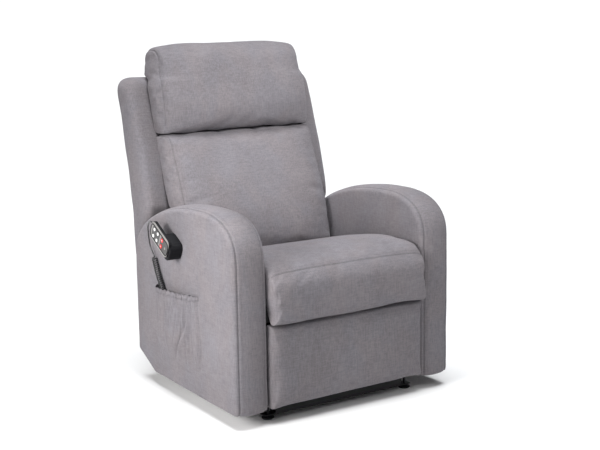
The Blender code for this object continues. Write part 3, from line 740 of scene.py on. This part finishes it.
def handset_trim():
    """A raised black rim round the handset's face, two dark inlays under its buttons, and their arrows."""
    rim = [face_outline(margin, radius) for margin, radius, _ in RIM]
    depths = [x for _, _, x in RIM]
    on_face("handset_rim", rim, depths, BLACK_PLASTIC, "seat_carriage", capped=False)
    for label, span in (("upper", (-0.050, 0.001)), ("lower", (0.008, 0.056))):
        loops = [face_outline(margin, 0.008 + margin, span, INLAY_HALF_WIDTH) for margin in (0.0, -0.0003)]
        depths = (HANDSET_FACE_X - 0.0001, HANDSET_FACE_X + 0.0003)
        on_face(f"handset_inlay_{label}", loops, depths, INLAY_PLASTIC, "seat_carriage")
    depths = (BUTTON_TOP_X - 0.0002, BUTTON_TOP_X + 0.0002)
    for pair, (t, s, size) in PAIRS.items():
        white = pair == "lift"
        colour, slot = (WHITE_PLASTIC, "light_plastic") if white else (INLAY_PLASTIC, "black_plastic")
        for way, sign in (("up", 1), ("down", -1)):
            foot, tip = sign * (s - 0.5 * size), sign * (s + 0.9 * size)
            arrow = [(t - 0.8 * size, foot), (t + 0.8 * size, foot), (t, tip)][::sign]
            on_face(f"arrow_{pair}_{way}", [arrow, arrow], depths, colour, f"button_{pair}_{way}")


handset_trim()

# ---- arms

ARM_SEAM = 0.013        # from the arm's side faces to its seams
ARM_CROWN = 0.008       # how far the band stands above its seams
ARM_PUFF = 0.0035       # how far the padding stands out past the plain solid


def arm_outline():
    """The arm from the side, as its bottom, rear, top and front lines."""
    front, rear = ARM_LOW.y - ARM_PUFF, ARM_HIGH.y + ARM_PUFF
    low, high = ARM_LOW.z - ARM_PUFF, ARM_HIGH.z + ARM_PUFF
    top_y = -0.20
    fall = arc((top_y, high - 0.200), 0.468, 0.200, 6, 90)
    fall[:, 0] = np.minimum(fall[:, 0], rear)
    blunt = arc((top_y, high - 0.140), top_y - front, 0.140, 90, 180, 2.5)
    corner = 12
    bottom = [(front + 0.003, low), (0.150, low), (rear, 0.098)]
    back = [(rear, 0.098), (rear, fall[0][1])]
    top = np.vstack([fall, blunt[1:corner + 1]])
    face = np.vstack([blunt[corner:], [(front, low + 0.006), (front + 0.003, low)]])
    return [bottom, back, top, face]


def arm(end, sign):
    """One arm: outer and inner panels that roll over the edges to a crowned band."""
    inner, outer = ARM_LOW.x, ARM_HIGH.x + 0.0015
    middle, half = (inner + outer) / 2, (outer - inner) / 2 - ARM_SEAM
    edge = rounded_edge(inner, ARM_CROWN, ARM_SEAM, 1, 5)
    band = []
    for u in (-0.95, -0.88, -0.78, -0.62, -0.43, -0.22, 0, 0.22, 0.43, 0.62, 0.78, 0.88, 0.95):
        band.append((middle + u * half, ARM_CROWN * (1 - (1 - u * u) ** 0.75)))
    columns = edge + band + [(inner + outer - x, inset) for x, inset in edge[::-1]]
    if sign < 0:
        columns = [(-x, inset) for x, inset in columns[::-1]]
    form = Slab(arm_outline(), (64, 46), columns, (-0.07, 0.16), (1, 0.8, 0.22, 1))
    form.bulge_caps(0.0012, 6)
    seams = (len(edge) - 1, len(columns) - len(edge))
    edges = edges_along(form.rings[seams[0]], True) + edges_along(form.rings[seams[1]], True)
    obj = upholster(f"arm_{end}", form, edges, (0.0009, 0.09, 3 + sign), 0.0018)
    sew(obj, form, f"arm_{end}", "seat_carriage", seams, 3, (form.corners[1] - 4, form.corners[4]), 0.34)
    put_in_place(obj, "seat_carriage", f"arm_cover_{end}")


for end_name, side_sign in (("left", 1), ("right", -1)):
    arm(end_name, side_sign)

# ---- seat cushion


def rounded_outline(a, b, radii):
    """A rectangle from a[0] to a[1] and b[0] to b[1] as four lines, with its corners rounded.

    radii are (front bottom, rear bottom, rear top, front top), each a pair along a and b.
    """
    turns = []
    for (half_a, half_b), rear, top, start in zip(radii, (0, 1, 1, 0), (0, 0, 1, 1), (180, 270, 0, 90)):
        centre = (a[1] - half_a if rear else a[0] + half_a, b[1] - half_b if top else b[0] + half_b)
        turns.append(arc(centre, half_a, half_b, start, start + 90, 2.2, 12))
    return [np.vstack([turns[k][6:], turns[(k + 1) % 4][:7]]) for k in range(4)]


def pillow_columns(half, seam_inset, edge_radius, count, power=4.0, edge_steps=4):
    """Columns of a crowned panel between two rounded edges; a higher power makes a flatter middle."""
    edge = rounded_edge(-half, seam_inset, edge_radius, 1, edge_steps)
    inside = half - edge_radius
    even = np.linspace(-1, 1, count) * (inside - 0.014)
    middle = np.concatenate([[-inside + 0.0028, -inside + 0.0070], even, [inside - 0.0070, inside - 0.0028]])
    crown = [(x, seam_inset * (1 - (1 - min(1.0, abs(x / inside)) ** power) ** 0.5)) for x in middle]
    return edge + crown + [(-x, inset) for x, inset in edge[::-1]]


def seat():
    """The seat cushion, whose padded front rolls down over the footrest panel."""
    depth = (SEAT_LOW.y, SEAT_HIGH.y)
    room = 0.135
    radii = ((0.010, 0.012), (0.010, 0.010), (0.030, 0.030), (0.075, 0.062))
    outline = rounded_outline(depth, (0, room), radii)
    columns = pillow_columns(SEAT_HIGH.x - 0.001, 0.004, 0.011, 36, 8.0, 4)
    form = Slab(outline, (52, 18), columns, (-0.18, 0.030), (0.36, 0.6, 0.05, 1))
    form.bulge_caps(0.002)
    x, y, v = form.verts.T
    base = 0.3590       # the cushion's underside, in front of which its lip rolls down
    floor_z = base - (base - SEAT_LOW.z + 0.004) * (1 - smooth_step(y, -0.3915, -0.3800))
    line = smooth_line([(-0.430, 0.480), (-0.330, 0.487), (-0.230, 0.486), (-0.080, 0.456), (0.040, 0.424),
                        (0.070, 0.410)])
    crown = np.interp(y, line[:, 0], line[:, 1]) - 0.007 * np.abs(x / SEAT_HIGH.x) ** 3
    z = floor_z + (crown - floor_z) * v / room
    reach = np.clip(1 - smooth_step(y, -0.428, -0.395), 0, 1) * np.clip((x * x) / 0.075, 0, 1)
    x = x * (1 + 0.008 * reach * np.exp(-((z - 0.385) / 0.055) ** 2))
    form.verts = np.column_stack([x, y, z])
    ring_y, ring_z = y[form.rings[20]], z[form.rings[20]]
    front_line = int(np.argmin(np.where(ring_y < -0.40, np.abs(ring_z - 0.456), 9)))
    edges = edges_along(form.rings[2:-2, front_line])

    def pull_corners(co, out):
        """Small pulls where the front corners are sewn."""
        corner = np.exp(-(((np.abs(co[:, 0]) - 0.262) / 0.05) ** 2 + ((co[:, 1] + 0.405) / 0.045) ** 2
                          + ((co[:, 2] - 0.455) / 0.05) ** 2))
        pulls = np.sin((co[:, 2] + co[:, 1] * 0.7) * 2 * pi / 0.021 + 3 * roughen(co, 0.08, 5))
        return co + out * (0.0011 * corner * pulls)[:, None]

    held = [(1.0, [i for pair in edges for i in pair]),
            (1.0, [i for i, p in enumerate(form.verts) if p[2] < 0.3592 and p[1] > -0.385])]
    puff = (held, 3.0, 0.012, 0.007)
    obj = upholster("seat_pad", form, edges, (0.0016, 0.11, 11), 0.0022, puff, pull_corners)
    co, out = places(obj), normals(obj)
    shade_seams(obj, [co[form.rings[2:-2, front_line]]], 0.5, 0.0024)
    above = front_line + (1 if ring_z[front_line + 1] > ring_z[front_line] else -1)
    row = form.rings[3:-3, above]
    stitches("seat_topstitch", co[row], out[row], "seat_carriage")
    put_in_place(obj, "seat_carriage", "seat_cushion")


seat()

# ---- backrest cushions and shell


def between(z, line):
    """The y of a smooth line of (y, z) points at each height."""
    fine = smooth_line(line)
    order = np.argsort(fine[:, 1])
    return np.interp(z, fine[order, 1], fine[order, 0])


def puckers(co, out, crease, reach, seed, height, spacing):
    """Small gathers that run out of a crease at height z = crease, dying away over reach."""
    along = co[:, 0] / spacing
    ridge = np.sin(2 * pi * along + 2.4 * wave(along * 0.45, seed))
    ridge *= 0.55 + 0.45 * wave(along * 0.33, seed + 1)
    away = np.abs(co[:, 2] - crease)
    return co + out * (height * ridge * np.exp(-(away / reach) ** 1.5))[:, None]


BACK_FRONT_LINE = [(0.062, 0.400), (0.070, 0.450), (0.080, 0.500), (0.102, 0.570), (0.138, 0.660),
                   (0.176, 0.740), (0.206, 0.800)]
BACK_REAR_LINE = [(0.158, 0.400), (0.172, 0.450), (0.206, 0.552), (0.246, 0.655), (0.295, 0.800)]
CREASE = (BACK_HIGH.z + HEAD_LOW.z) / 2
PAD_SEAM = 2            # the column of a back or head cushion's side seam


def back_cushion():
    """The lower back cushion, with its front panel seamed to boxing at both sides."""
    columns = pillow_columns(BACK_HIGH.x - 0.002, 0.024, 0.004, 34, 4.5, 2)
    thickness = 0.092
    radii = ((0.030, 0.030), (0.012, 0.012), (0.012, 0.012), (0.026, 0.022))
    outline = rounded_outline((0, thickness), (BACK_LOW.z, CREASE), radii)
    centre = (thickness * 0.55, (BACK_LOW.z + CREASE) / 2)
    form = Slab(outline, (12, 44), columns, centre, (1, 0.1, 0.25, 0.25))
    form.bulge_caps(0.003)
    x, t, z = form.verts.T
    share = t / thickness
    y_front, y_rear = between(z, BACK_FRONT_LINE), between(z, BACK_REAR_LINE)
    x = x * (1 + 0.065 * smooth_step(z, 0.535, 0.575) * smooth_step(share, 0.1, 1.0))
    form.verts = np.column_stack([x, y_front + (y_rear - y_front) * share, z])
    seams, span = (PAD_SEAM, len(columns) - 1 - PAD_SEAM), (form.corners[2] + 4, form.corners[4] - 2)
    edges = form.side_seams(seams, span)
    held = [(1.0, {i for pair in edges for i in pair}),
            (1.0, [i for i, p in enumerate(form.verts) if p[1] > between(p[2], BACK_REAR_LINE) - 0.012])]
    obj = upholster("back_pad", form, edges, (0.0016, 0.12, 21), 0.0016, (held, 3.0, 0.014, 0.009),
                    lambda co, out: puckers(co, out, BACK_HIGH.z, 0.034, 5, 0.0020, 0.030))
    sew(obj, form, "back", "backrest", seams, 2, span, 0.3)
    put_in_place(obj, "backrest", "back_cushion")


HEAD_FRONT_LINE = [(0.222, 0.795), (0.210, 0.835), (0.206, 0.880), (0.211, 0.920), (0.226, 0.975),
                   (0.243, 1.025), (0.260, 1.085)]
HEAD_REAR_LINE = [(0.294, 0.795), (0.312, 0.850), (0.336, 0.921), (0.350, 0.970)]


def head_cushion():
    """The head cushion, which stands on the back cushion and reaches over the top of the shell."""
    thickness = 0.110
    columns = pillow_columns(HEAD_HIGH.x - 0.006, 0.034, 0.004, 34, 3.8, 2)
    radii = ((0.040, 0.036), (0.012, 0.012), (0.036, 0.034), (0.050, 0.052))
    outline = rounded_outline((0, thickness), (CREASE, HEAD_HIGH.z + 0.002), radii)
    form = Slab(outline, (16, 34), columns, (0.075, 0.93), (1, 0.15, 0.10, 0.25))
    form.bulge_caps(0.004)
    x, t, z = form.verts.T
    y_front = between(z, HEAD_FRONT_LINE)
    lean = between(np.minimum(z, 0.970), HEAD_REAR_LINE)
    y_rear = lean + (HEAD_HIGH.y - 0.002 - lean) * smooth_step(z, 0.979, 0.988)
    share = t / thickness
    y = y_front + (y_rear - y_front) * share
    x = x * (1 + 0.035 * smooth_step(y - y_front, 0.030, 0.100) * (1 - smooth_step(z, 0.95, 1.0)))
    roll = 0.036
    x = x * (1 + 0.018 * (1 - smooth_step(z, 0.945, 1.0)) - 0.024 * smooth_step(z, 0.97, 1.06))
    over = np.clip(np.abs(x) - (HEAD_HIGH.x - roll), 0, roll)
    z = z - (roll - np.sqrt(roll * roll - over * over)) * smooth_step(z, 0.99, HEAD_HIGH.z)
    form.verts = np.column_stack([x, y, z])
    seams, span = (PAD_SEAM, len(columns) - 1 - PAD_SEAM), (form.corners[2] - 6, form.corners[4] - 2)
    edges = form.side_seams(seams, span)
    held = [(1.0, {i for pair in edges for i in pair}),
            (1.0, [i for i, (p, s) in enumerate(zip(form.verts, share)) if s > 0.9 and p[2] < 1.0])]
    obj = upholster("head_pad", form, edges, (0.0020, 0.12, 31), 0.0014, (held, 3.0, 0.014, 0.008),
                    lambda co, out: puckers(co, out, HEAD_LOW.z + 0.008, 0.036, 8, 0.0036, 0.027))
    sew(obj, form, "head", "backrest", seams, 2, span, 0.3)
    put_in_place(obj, "backrest", "head_cushion")


SHELL_FRONT_LINE = [(0.300, 0.400), (0.284, 0.455), (0.262, 0.496), (0.240, 0.524), (0.224, 0.560),
                    (0.242, 0.653), (0.290, 0.798), (0.331, 0.919), (0.352, 0.985)]
SHELL_REAR_LINE = [(0.341, 0.400), (0.362, 0.480), (0.385, 0.570), (0.399, 0.674), (0.421, 0.773),
                   (0.449, 0.906), (0.460, 0.985)]
SHELL_FRONT_ROUND = 0.030     # across the chair; from front to rear the rounding is a share of the depth
SHELL_REAR_ROUND = 0.050


def shade_recess(obj):
    """Deepen the fabric's shade on the wings' fronts, towards the cushions and down behind the arms."""
    co, out = places(obj), normals(obj)
    away = np.abs(co[:, 0])
    facing = smooth_step(-out[:, 1], 0.35, 0.85) * smooth_step(SHELL_HIGH.x - away, 0.006, 0.030)
    beside = 0.20 + 0.16 * (1 - smooth_step(away, 0.285, 0.335))
    behind_arm = 0.75 * (1 - smooth_step(co[:, 2], 0.556, 0.590))
    values = np.empty(len(co), np.float32)
    obj.data.attributes["painted_shade"].data.foreach_get("value", values)
    set_shade(obj, np.maximum(values, facing * np.maximum(beside, behind_arm)))


def shell():
    """The upholstered shell of the back: flat wings beside the cushions, well rounded at the sides."""
    thickness = 0.110
    wide = SHELL_HIGH.x
    turns = np.radians(np.linspace(0, 90, 9))
    rounding = wide - SHELL_REAR_ROUND * (1 - np.sin(turns))
    half = [*np.linspace(0, 0.270, 10), 0.281, 0.286, 0.2915, 0.301, *rounding]
    columns = [(x, 0.0) for x in [-x for x in half[:0:-1]] + half]
    radii = ((0.016, 0.016), (0.010, 0.010), (0.034, 0.034), (0.045, 0.040))
    outline = rounded_outline((0, thickness), (SHELL_LOW.z, SHELL_HIGH.z + 0.001), radii)
    form = Slab(outline, (14, 62), columns, (0.055, 0.70))
    form.bulge_caps(0.002)
    x, t, z = form.verts.T
    y_front, y_rear = between(z, SHELL_FRONT_LINE), between(z, SHELL_REAR_LINE)
    depth, away = y_rear - y_front, np.abs(x)
    turn_front = np.clip((away - wide + SHELL_FRONT_ROUND) / SHELL_FRONT_ROUND, 0, 1)
    turn_rear = np.clip((away - wide + SHELL_REAR_ROUND) / SHELL_REAR_ROUND, 0, 1)
    seat_for_cushions = 0.012 * (1 - smooth_step(away, 0.268, 0.281)) * smooth_step(z, 0.56, 0.62)
    y_front = y_front + seat_for_cushions + 0.36 * depth * (1 - np.sqrt(1 - turn_front ** 2))
    between_arms = (1 - smooth_step(away, 0.262, 0.272)) * smooth_step(z, 0.425, 0.455)
    y_front = y_front + between_arms * np.minimum(between(z, BACK_REAR_LINE) + 0.006 - y_front, 0)
    y_rear = y_rear - 0.42 * depth * (1 - np.sqrt(1 - turn_rear ** 2))
    z = z - 0.040 * (1 - np.sqrt(1 - turn_rear ** 2)) * smooth_step(z, SHELL_HIGH.z - 0.12, SHELL_HIGH.z)
    form.verts = np.column_stack([x, y_front + (y_rear - y_front) * t / thickness, z])
    rear_column = len(turns) - 2
    seams, span = (rear_column, len(columns) - 1 - rear_column), (form.corners[1] + 2, form.corners[2] + 4)
    edges = form.side_seams(seams, span)
    obj = upholster("back_cover", form, edges, (0.0013, 0.10, 41), 0.0012)
    sew(obj, form, "shell", "backrest", seams, 1, span, 0.5)
    shade_recess(obj)
    put_in_place(obj, "backrest", "back_shell")


back_cushion()
head_cushion()
shell()

# ---- footrest panel, rear skirt

PANEL_HANG = 0.006      # how far the cover hangs below the panel's board


def footrest_panel():
    """The padded footrest panel below the seat, whose cover hangs a little lower on the right."""
    columns = pillow_columns(PANEL_HIGH.x - 0.0005, 0.002, 0.006, 30, 7.0, 3)
    radii = ((0.008, 0.008), (0.006, 0.006), (0.006, 0.006), (0.012, 0.014))
    outline = rounded_outline((PANEL_LOW.y, PANEL_HIGH.y), (PANEL_LOW.z - PANEL_HANG, PANEL_HIGH.z), radii)
    form = Slab(outline, (6, 26), columns, (PANEL_HIGH.y - 0.014, 0.178), (1, 0.2, 0.35, 0.3))
    form.bulge_caps(0.002)
    low = 1 - smooth_step(form.verts[:, 2], PANEL_LOW.z, PANEL_LOW.z + 0.10)
    form.verts[:, 2] += 0.003 * low * form.verts[:, 0] / PANEL_HIGH.x
    front = form.verts[:, 1] < PANEL_LOW.y + 0.015
    held = [(1.0, np.flatnonzero(form.verts[:, 1] > PANEL_HIGH.y - 0.012)),
            (0.5, np.flatnonzero(~front & (form.verts[:, 1] <= PANEL_HIGH.y - 0.012)))]
    obj = upholster("footrest_pad", form, (), (0.0011, 0.11, 51), puff=(held, 2.5, 0.008, 0.005))
    put_in_place(obj, "footrest", "footrest_panel")


def rear_skirt():
    """The fabric panel that closes the chair below the back, with a hem along its lower edge."""
    columns = pillow_columns(SKIRT_HIGH.x, 0.001, 0.004, 24, 6.0, 2)
    radii = ((0.003, 0.003), (0.003, 0.003), (0.004, 0.004), (0.003, 0.003))
    outline = rounded_outline((SKIRT_LOW.y, SKIRT_HIGH.y), (SKIRT_LOW.z, SKIRT_HIGH.z), radii)
    obj = Slab(outline, (4, 24), columns, (0.2430, 0.22)).mesh("rear_panel")
    co = places(obj)
    hem = smooth_step(co[:, 2], SKIRT_LOW.z + 0.020, SKIRT_LOW.z + 0.028)
    rear = smooth_step(co[:, 1], SKIRT_HIGH.y - 0.004, SKIRT_HIGH.y)
    co[:, 1] += rear * (0.0012 * (1 - hem) + 0.0010 * roughen(co, 0.09, 61))
    set_places(obj, co)
    subdivide(obj)
    put_in_place(obj, "seat_carriage", "rear_skirt")


footrest_panel()
rear_skirt()

# ---- cloth across the recline hinge


def hinge_cloth(name, line, half_width, span):
    """A strip of cover cloth from the seat to the back, along a line of (y, z).

    It follows the seat before the first place of span and the back after the second.
    """
    path = resample(smooth_line(line), 12)
    across = np.linspace(-half_width, half_width, 41)
    verts = []
    for x in across:
        for y, z in path:
            ripple = 0.0012 * wave([x * 22.0 + y * 9.0], 5)[0]
            verts.append((x, y + ripple, z + ripple))
    obj = make_mesh(name, verts, quads(np.arange(len(verts)).reshape(len(across), len(path))), FABRIC)
    thicken(obj)
    obj.data.transform(Matrix.Translation(ORIGIN))
    start, end = (Vector((0, y, z)) + ORIGIN for y, z in span)
    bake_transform(obj, "seat_carriage", "backrest", start=start, end=end)


# Each strip's line, as (y, z) from the seat to the back
APRON_LINE = [(0.244, 0.346), (0.256, 0.351), (0.290, 0.366), (0.326, 0.392), (0.338, 0.404)]
GUSSET_LINE = [(0.056, 0.398), (0.064, 0.391), (0.076, 0.386), (0.090, 0.392), (0.106, 0.412)]

hinge_cloth("rear_apron", APRON_LINE, 0.268, ((0.250, 0.349), (0.336, 0.400)))
hinge_cloth("seat_gusset", GUSSET_LINE, 0.262, ((0.062, 0.392), (0.102, 0.406)))

# ---- rivets

RIVETS = {      # a body: the pivots whose rivet heads it carries, as (x of the face, y, z, radius)
    "lift_links": [(0.2095, -0.270, 0.063, 0.0085), (0.2095, -0.200, 0.108, 0.0070)],
    "footrest_links_a": [(0.2255, -0.280, 0.265, 0.0065)],
    "footrest_links_b": [(0.2255, -0.224, 0.237, 0.0065)],
    "footrest_couplers": [(0.2315, -0.362, 0.200, 0.0065)],
    "backrest": [(0.2430, 0.190, 0.360, 0.0110)],
}
RIVET_DOME = ((0.0000, 1.0), (0.0005, 0.98), (0.0011, 0.72), (0.0014, 0.30))     # rise, share of the radius
RIVET_SIDES = 20


def rivet_heads():
    """Low domed heads on the outer faces of the linkage plates, one pair for each pivot."""
    turns = 2 * pi * np.arange(RIVET_SIDES) / RIVET_SIDES
    for body, spots in RIVETS.items():
        verts, faces = [], []
        for x, y, z, radius in spots:
            for sign in (-1, 1):
                grid = len(verts) + np.arange(len(RIVET_DOME) * RIVET_SIDES).reshape(-1, RIVET_SIDES)
                for rise, share in RIVET_DOME:
                    for turn in sign * turns:
                        reach = radius * share
                        verts.append((sign * (x + rise), y + reach * cos(turn), z + reach * sin(turn)))
                faces += quads(grid, closed=True) + [grid[-1].tolist(), grid[0, ::-1].tolist()]
        in_frame(make_mesh(f"rivets_{body}", verts, faces, ZINC), body)


rivet_heads()

# ---- side pocket


def shade_folds(obj, out, v):
    """Shade the hollows between the pocket's folds, and its stitched hem."""
    hollow = np.clip(-out / 0.0034, 0, 1) * 0.46 + np.clip((0.0012 - np.abs(out)) / 0.0012, 0, 1) * 0.04
    hollow = hollow + 0.30 * np.exp(-((v - 0.940) / 0.010) ** 2) + 0.30 * np.exp(-((v - 1.0) / 0.012) ** 2)
    both_faces = np.tile(hollow.ravel(), 2)
    set_shade(obj, np.concatenate([both_faces, np.zeros(len(obj.data.vertices) - len(both_faces))]))


def pocket():
    """The gathered pocket: a sheet sewn down on three sides, its free top edge drawn in by elastic."""
    along, up = 110, 84
    face = -ARM_HIGH.x - 0.0016
    bottom = smooth_line([(-0.196, 0.108), (-0.060, 0.103), (0.088, 0.100)])
    top = smooth_line([(-0.182, 0.362), (-0.093, 0.354), (-0.025, 0.351), (0.040, 0.346), (0.088, 0.351)])
    front = smooth_line([(-0.196, 0.108), (-0.195, 0.200), (-0.188, 0.280), (-0.182, 0.362)])
    rear = smooth_line([(0.088, 0.100), (0.088, 0.200), (0.088, 0.351)])
    b, t = resample(bottom, along)[:, None], resample(top, along)[:, None]
    f, r = resample(front, up)[None], resample(rear, up)[None]
    u, v = np.linspace(0, 1, along + 1)[:, None, None], np.linspace(0, 1, up + 1)[None, :, None]
    corner = (1 - u) * (1 - v) * b[0] + u * (1 - v) * b[-1] + (1 - u) * v * t[0] + u * v * t[-1]
    flat = (1 - v) * b + v * t + (1 - u) * f + u * r - corner
    u, v = u[..., 0], v[..., 0]
    edge = np.minimum(smooth_step(u, 0, 0.07), smooth_step(1 - u, 0, 0.08))
    room = 0.0215 * smooth_step(v, 0.0, 0.36) * edge * (0.45 + 0.55 * smooth_step(u, 0.15, 0.62))
    pleat = np.zeros_like(room)
    folds = [   # start on the top edge, end below, width and height of each fold
        (0.13, 0.97, 0.34, 0.06, 0.021, 0.0072), (0.26, 0.98, 0.44, 0.20, 0.017, 0.0062),
        (0.08, 0.80, 0.15, 0.15, 0.016, 0.0034), (0.38, 1.0, 0.50, 0.34, 0.018, 0.0056),
        (0.20, 0.60, 0.62, 0.05, 0.026, 0.0060), (0.50, 1.0, 0.60, 0.42, 0.017, 0.0046),
        (0.62, 1.0, 0.72, 0.25, 0.020, 0.0044), (0.84, 0.98, 0.88, 0.45, 0.018, 0.0024),
    ]
    for u0, v0, u1, v1, width, height in folds:
        run_u, run_v = u1 - u0, v1 - v0
        s = np.clip(((u - u0) * run_u + (v - v0) * run_v) / (run_u ** 2 + run_v ** 2), -0.1, 1.2)
        bend = 0.02 * np.sin(s * pi * 1.3 + u0 * 9)
        away = u - (u0 + s * run_u) - bend
        length = smooth_step(s, -0.08, 0.12) * smooth_step(1.15 - s, 0.0, 0.75)
        ridge = np.exp(-(away / width) ** 2) - 0.45 * np.exp(-((away - 1.7 * width) / width) ** 2)
        pleat += 1.25 * height * length * ridge
    phase = u * 21 * 2 * pi + 2.6 * wave(u[:, 0] * 6.3, 3)[:, None]
    gathers = 0.0026 * np.sin(phase) * (0.6 + 0.4 * wave(u[:, 0] * 9.0, 9)[:, None])
    folds_out = pleat * edge + gathers * np.exp(-((1 - v) / 0.13)) * edge
    hem = 0.0013 * smooth_step(v, 0.940, 0.952)
    x = face - np.maximum(room + folds_out * smooth_step(v, 0.0, 0.10) + hem, 0.0003)
    flat[..., 1] += (0.0016 * np.sin(phase * 0.5 + 1.0) * smooth_step(v, 0.80, 1.0) * edge)
    verts = np.concatenate([x[..., None], flat], axis=2).reshape(-1, 3)
    grid = np.arange(len(verts)).reshape(along + 1, up + 1)
    obj = make_mesh("pocket_sheet", verts, quads(grid), FABRIC)
    thicken(obj)
    outward = np.tile([-1.0, 0.0, 0.0], (max(along, up) + 1, 1))
    lines = {"top": grid[2:-2, int(up * 0.945)], "front": grid[1, 1:], "rear": grid[-2, 1:],
             "bottom": grid[1:-1, 1]}
    for label, row in lines.items():
        stitches(f"pocket_stitch_{label}", verts[row], outward[:len(row)], "seat_carriage", lift=0.0007)
    shade_folds(obj, folds_out, v)
    in_frame(obj, "seat_carriage", replaces=["side_pocket"])


pocket()

# ---- floor and light

FLOOR_FLAT = 7.0        # radius of the level floor, which then sweeps gently up
FLOOR_REACH = 60.0
FLOOR_SIDES = 64


def stage():
    """A plain pale floor that rises like a shallow dish far from the chair."""
    radii = (2.0, 4.0, FLOOR_FLAT, 8.5, 10.0, 12.0, 15.0, 20.0, 30.0, FLOOR_REACH)
    verts = []
    for radius in radii:
        past = max(0.0, radius - FLOOR_FLAT)
        rise = 0.26 * past ** 2 / (past + 4.0)
        for turn in 2 * pi * np.arange(FLOOR_SIDES) / FLOOR_SIDES:
            verts.append((radius * cos(turn), radius * sin(turn), rise - 0.0005))
    grid = np.arange(len(verts)).reshape(len(radii), FLOOR_SIDES)
    faces = [grid[0].tolist()] + [face[::-1] for face in quads(grid, closed=True)]
    make_mesh("floor", verts, faces, plain_floor("floor_white"))


def area_light(name, place, target, size, power, spread, colour=(1, 1, 1)):
    """A round soft box whose grid narrows its beam to a spread in degrees."""
    data = bpy.data.lights.new(name, "AREA")
    data.spread = radians(spread)
    data.shape = "DISK"
    data.size = size
    data.energy = power
    data.color = colour
    light = linked(name, data)
    light.location = Vector(place)
    light.rotation_euler = (Vector(target) - Vector(place)).to_track_quat("-Z", "Y").to_euler()


def distant_light(name, strength, angle, towards, colour):
    """A wide, even light from far away; towards points at it from the chair."""
    data = bpy.data.lights.new(name, "SUN")
    data.energy = strength * pi
    data.angle = radians(angle)
    data.color = colour
    light = linked(name, data)
    light.rotation_euler = Vector(towards).to_track_quat("Z", "Y").to_euler()


def lights():
    world = bpy.data.worlds.new("studio")
    world.use_nodes = True
    background = world.node_tree.nodes["Background"]
    background.inputs["Color"].default_value = (1.0, 1.0, 1.0, 1.0)
    background.inputs["Strength"].default_value = 0.02
    bpy.context.scene.world = world
    bpy.context.scene.view_settings.view_transform = "Standard"
    distant_light("overhead", 1.22, 36, (0.0, 0.0, 1.0), (0.97, 0.985, 1.0))
    distant_light("side_fill", 0.29, 30, (-1.0, -0.1, 0.6), (1.0, 0.99, 0.98))
    area_light("key", (-1.90, -0.50, 0.95), (-0.39, -0.26, 0.44), 0.7, 5.6, 60, (1.0, 0.985, 0.97))
    area_light("back_light", (-0.20, -2.40, 2.55), (0.06, 0.22, 0.80), 0.9, 6.0, 38)


stage()
lights()
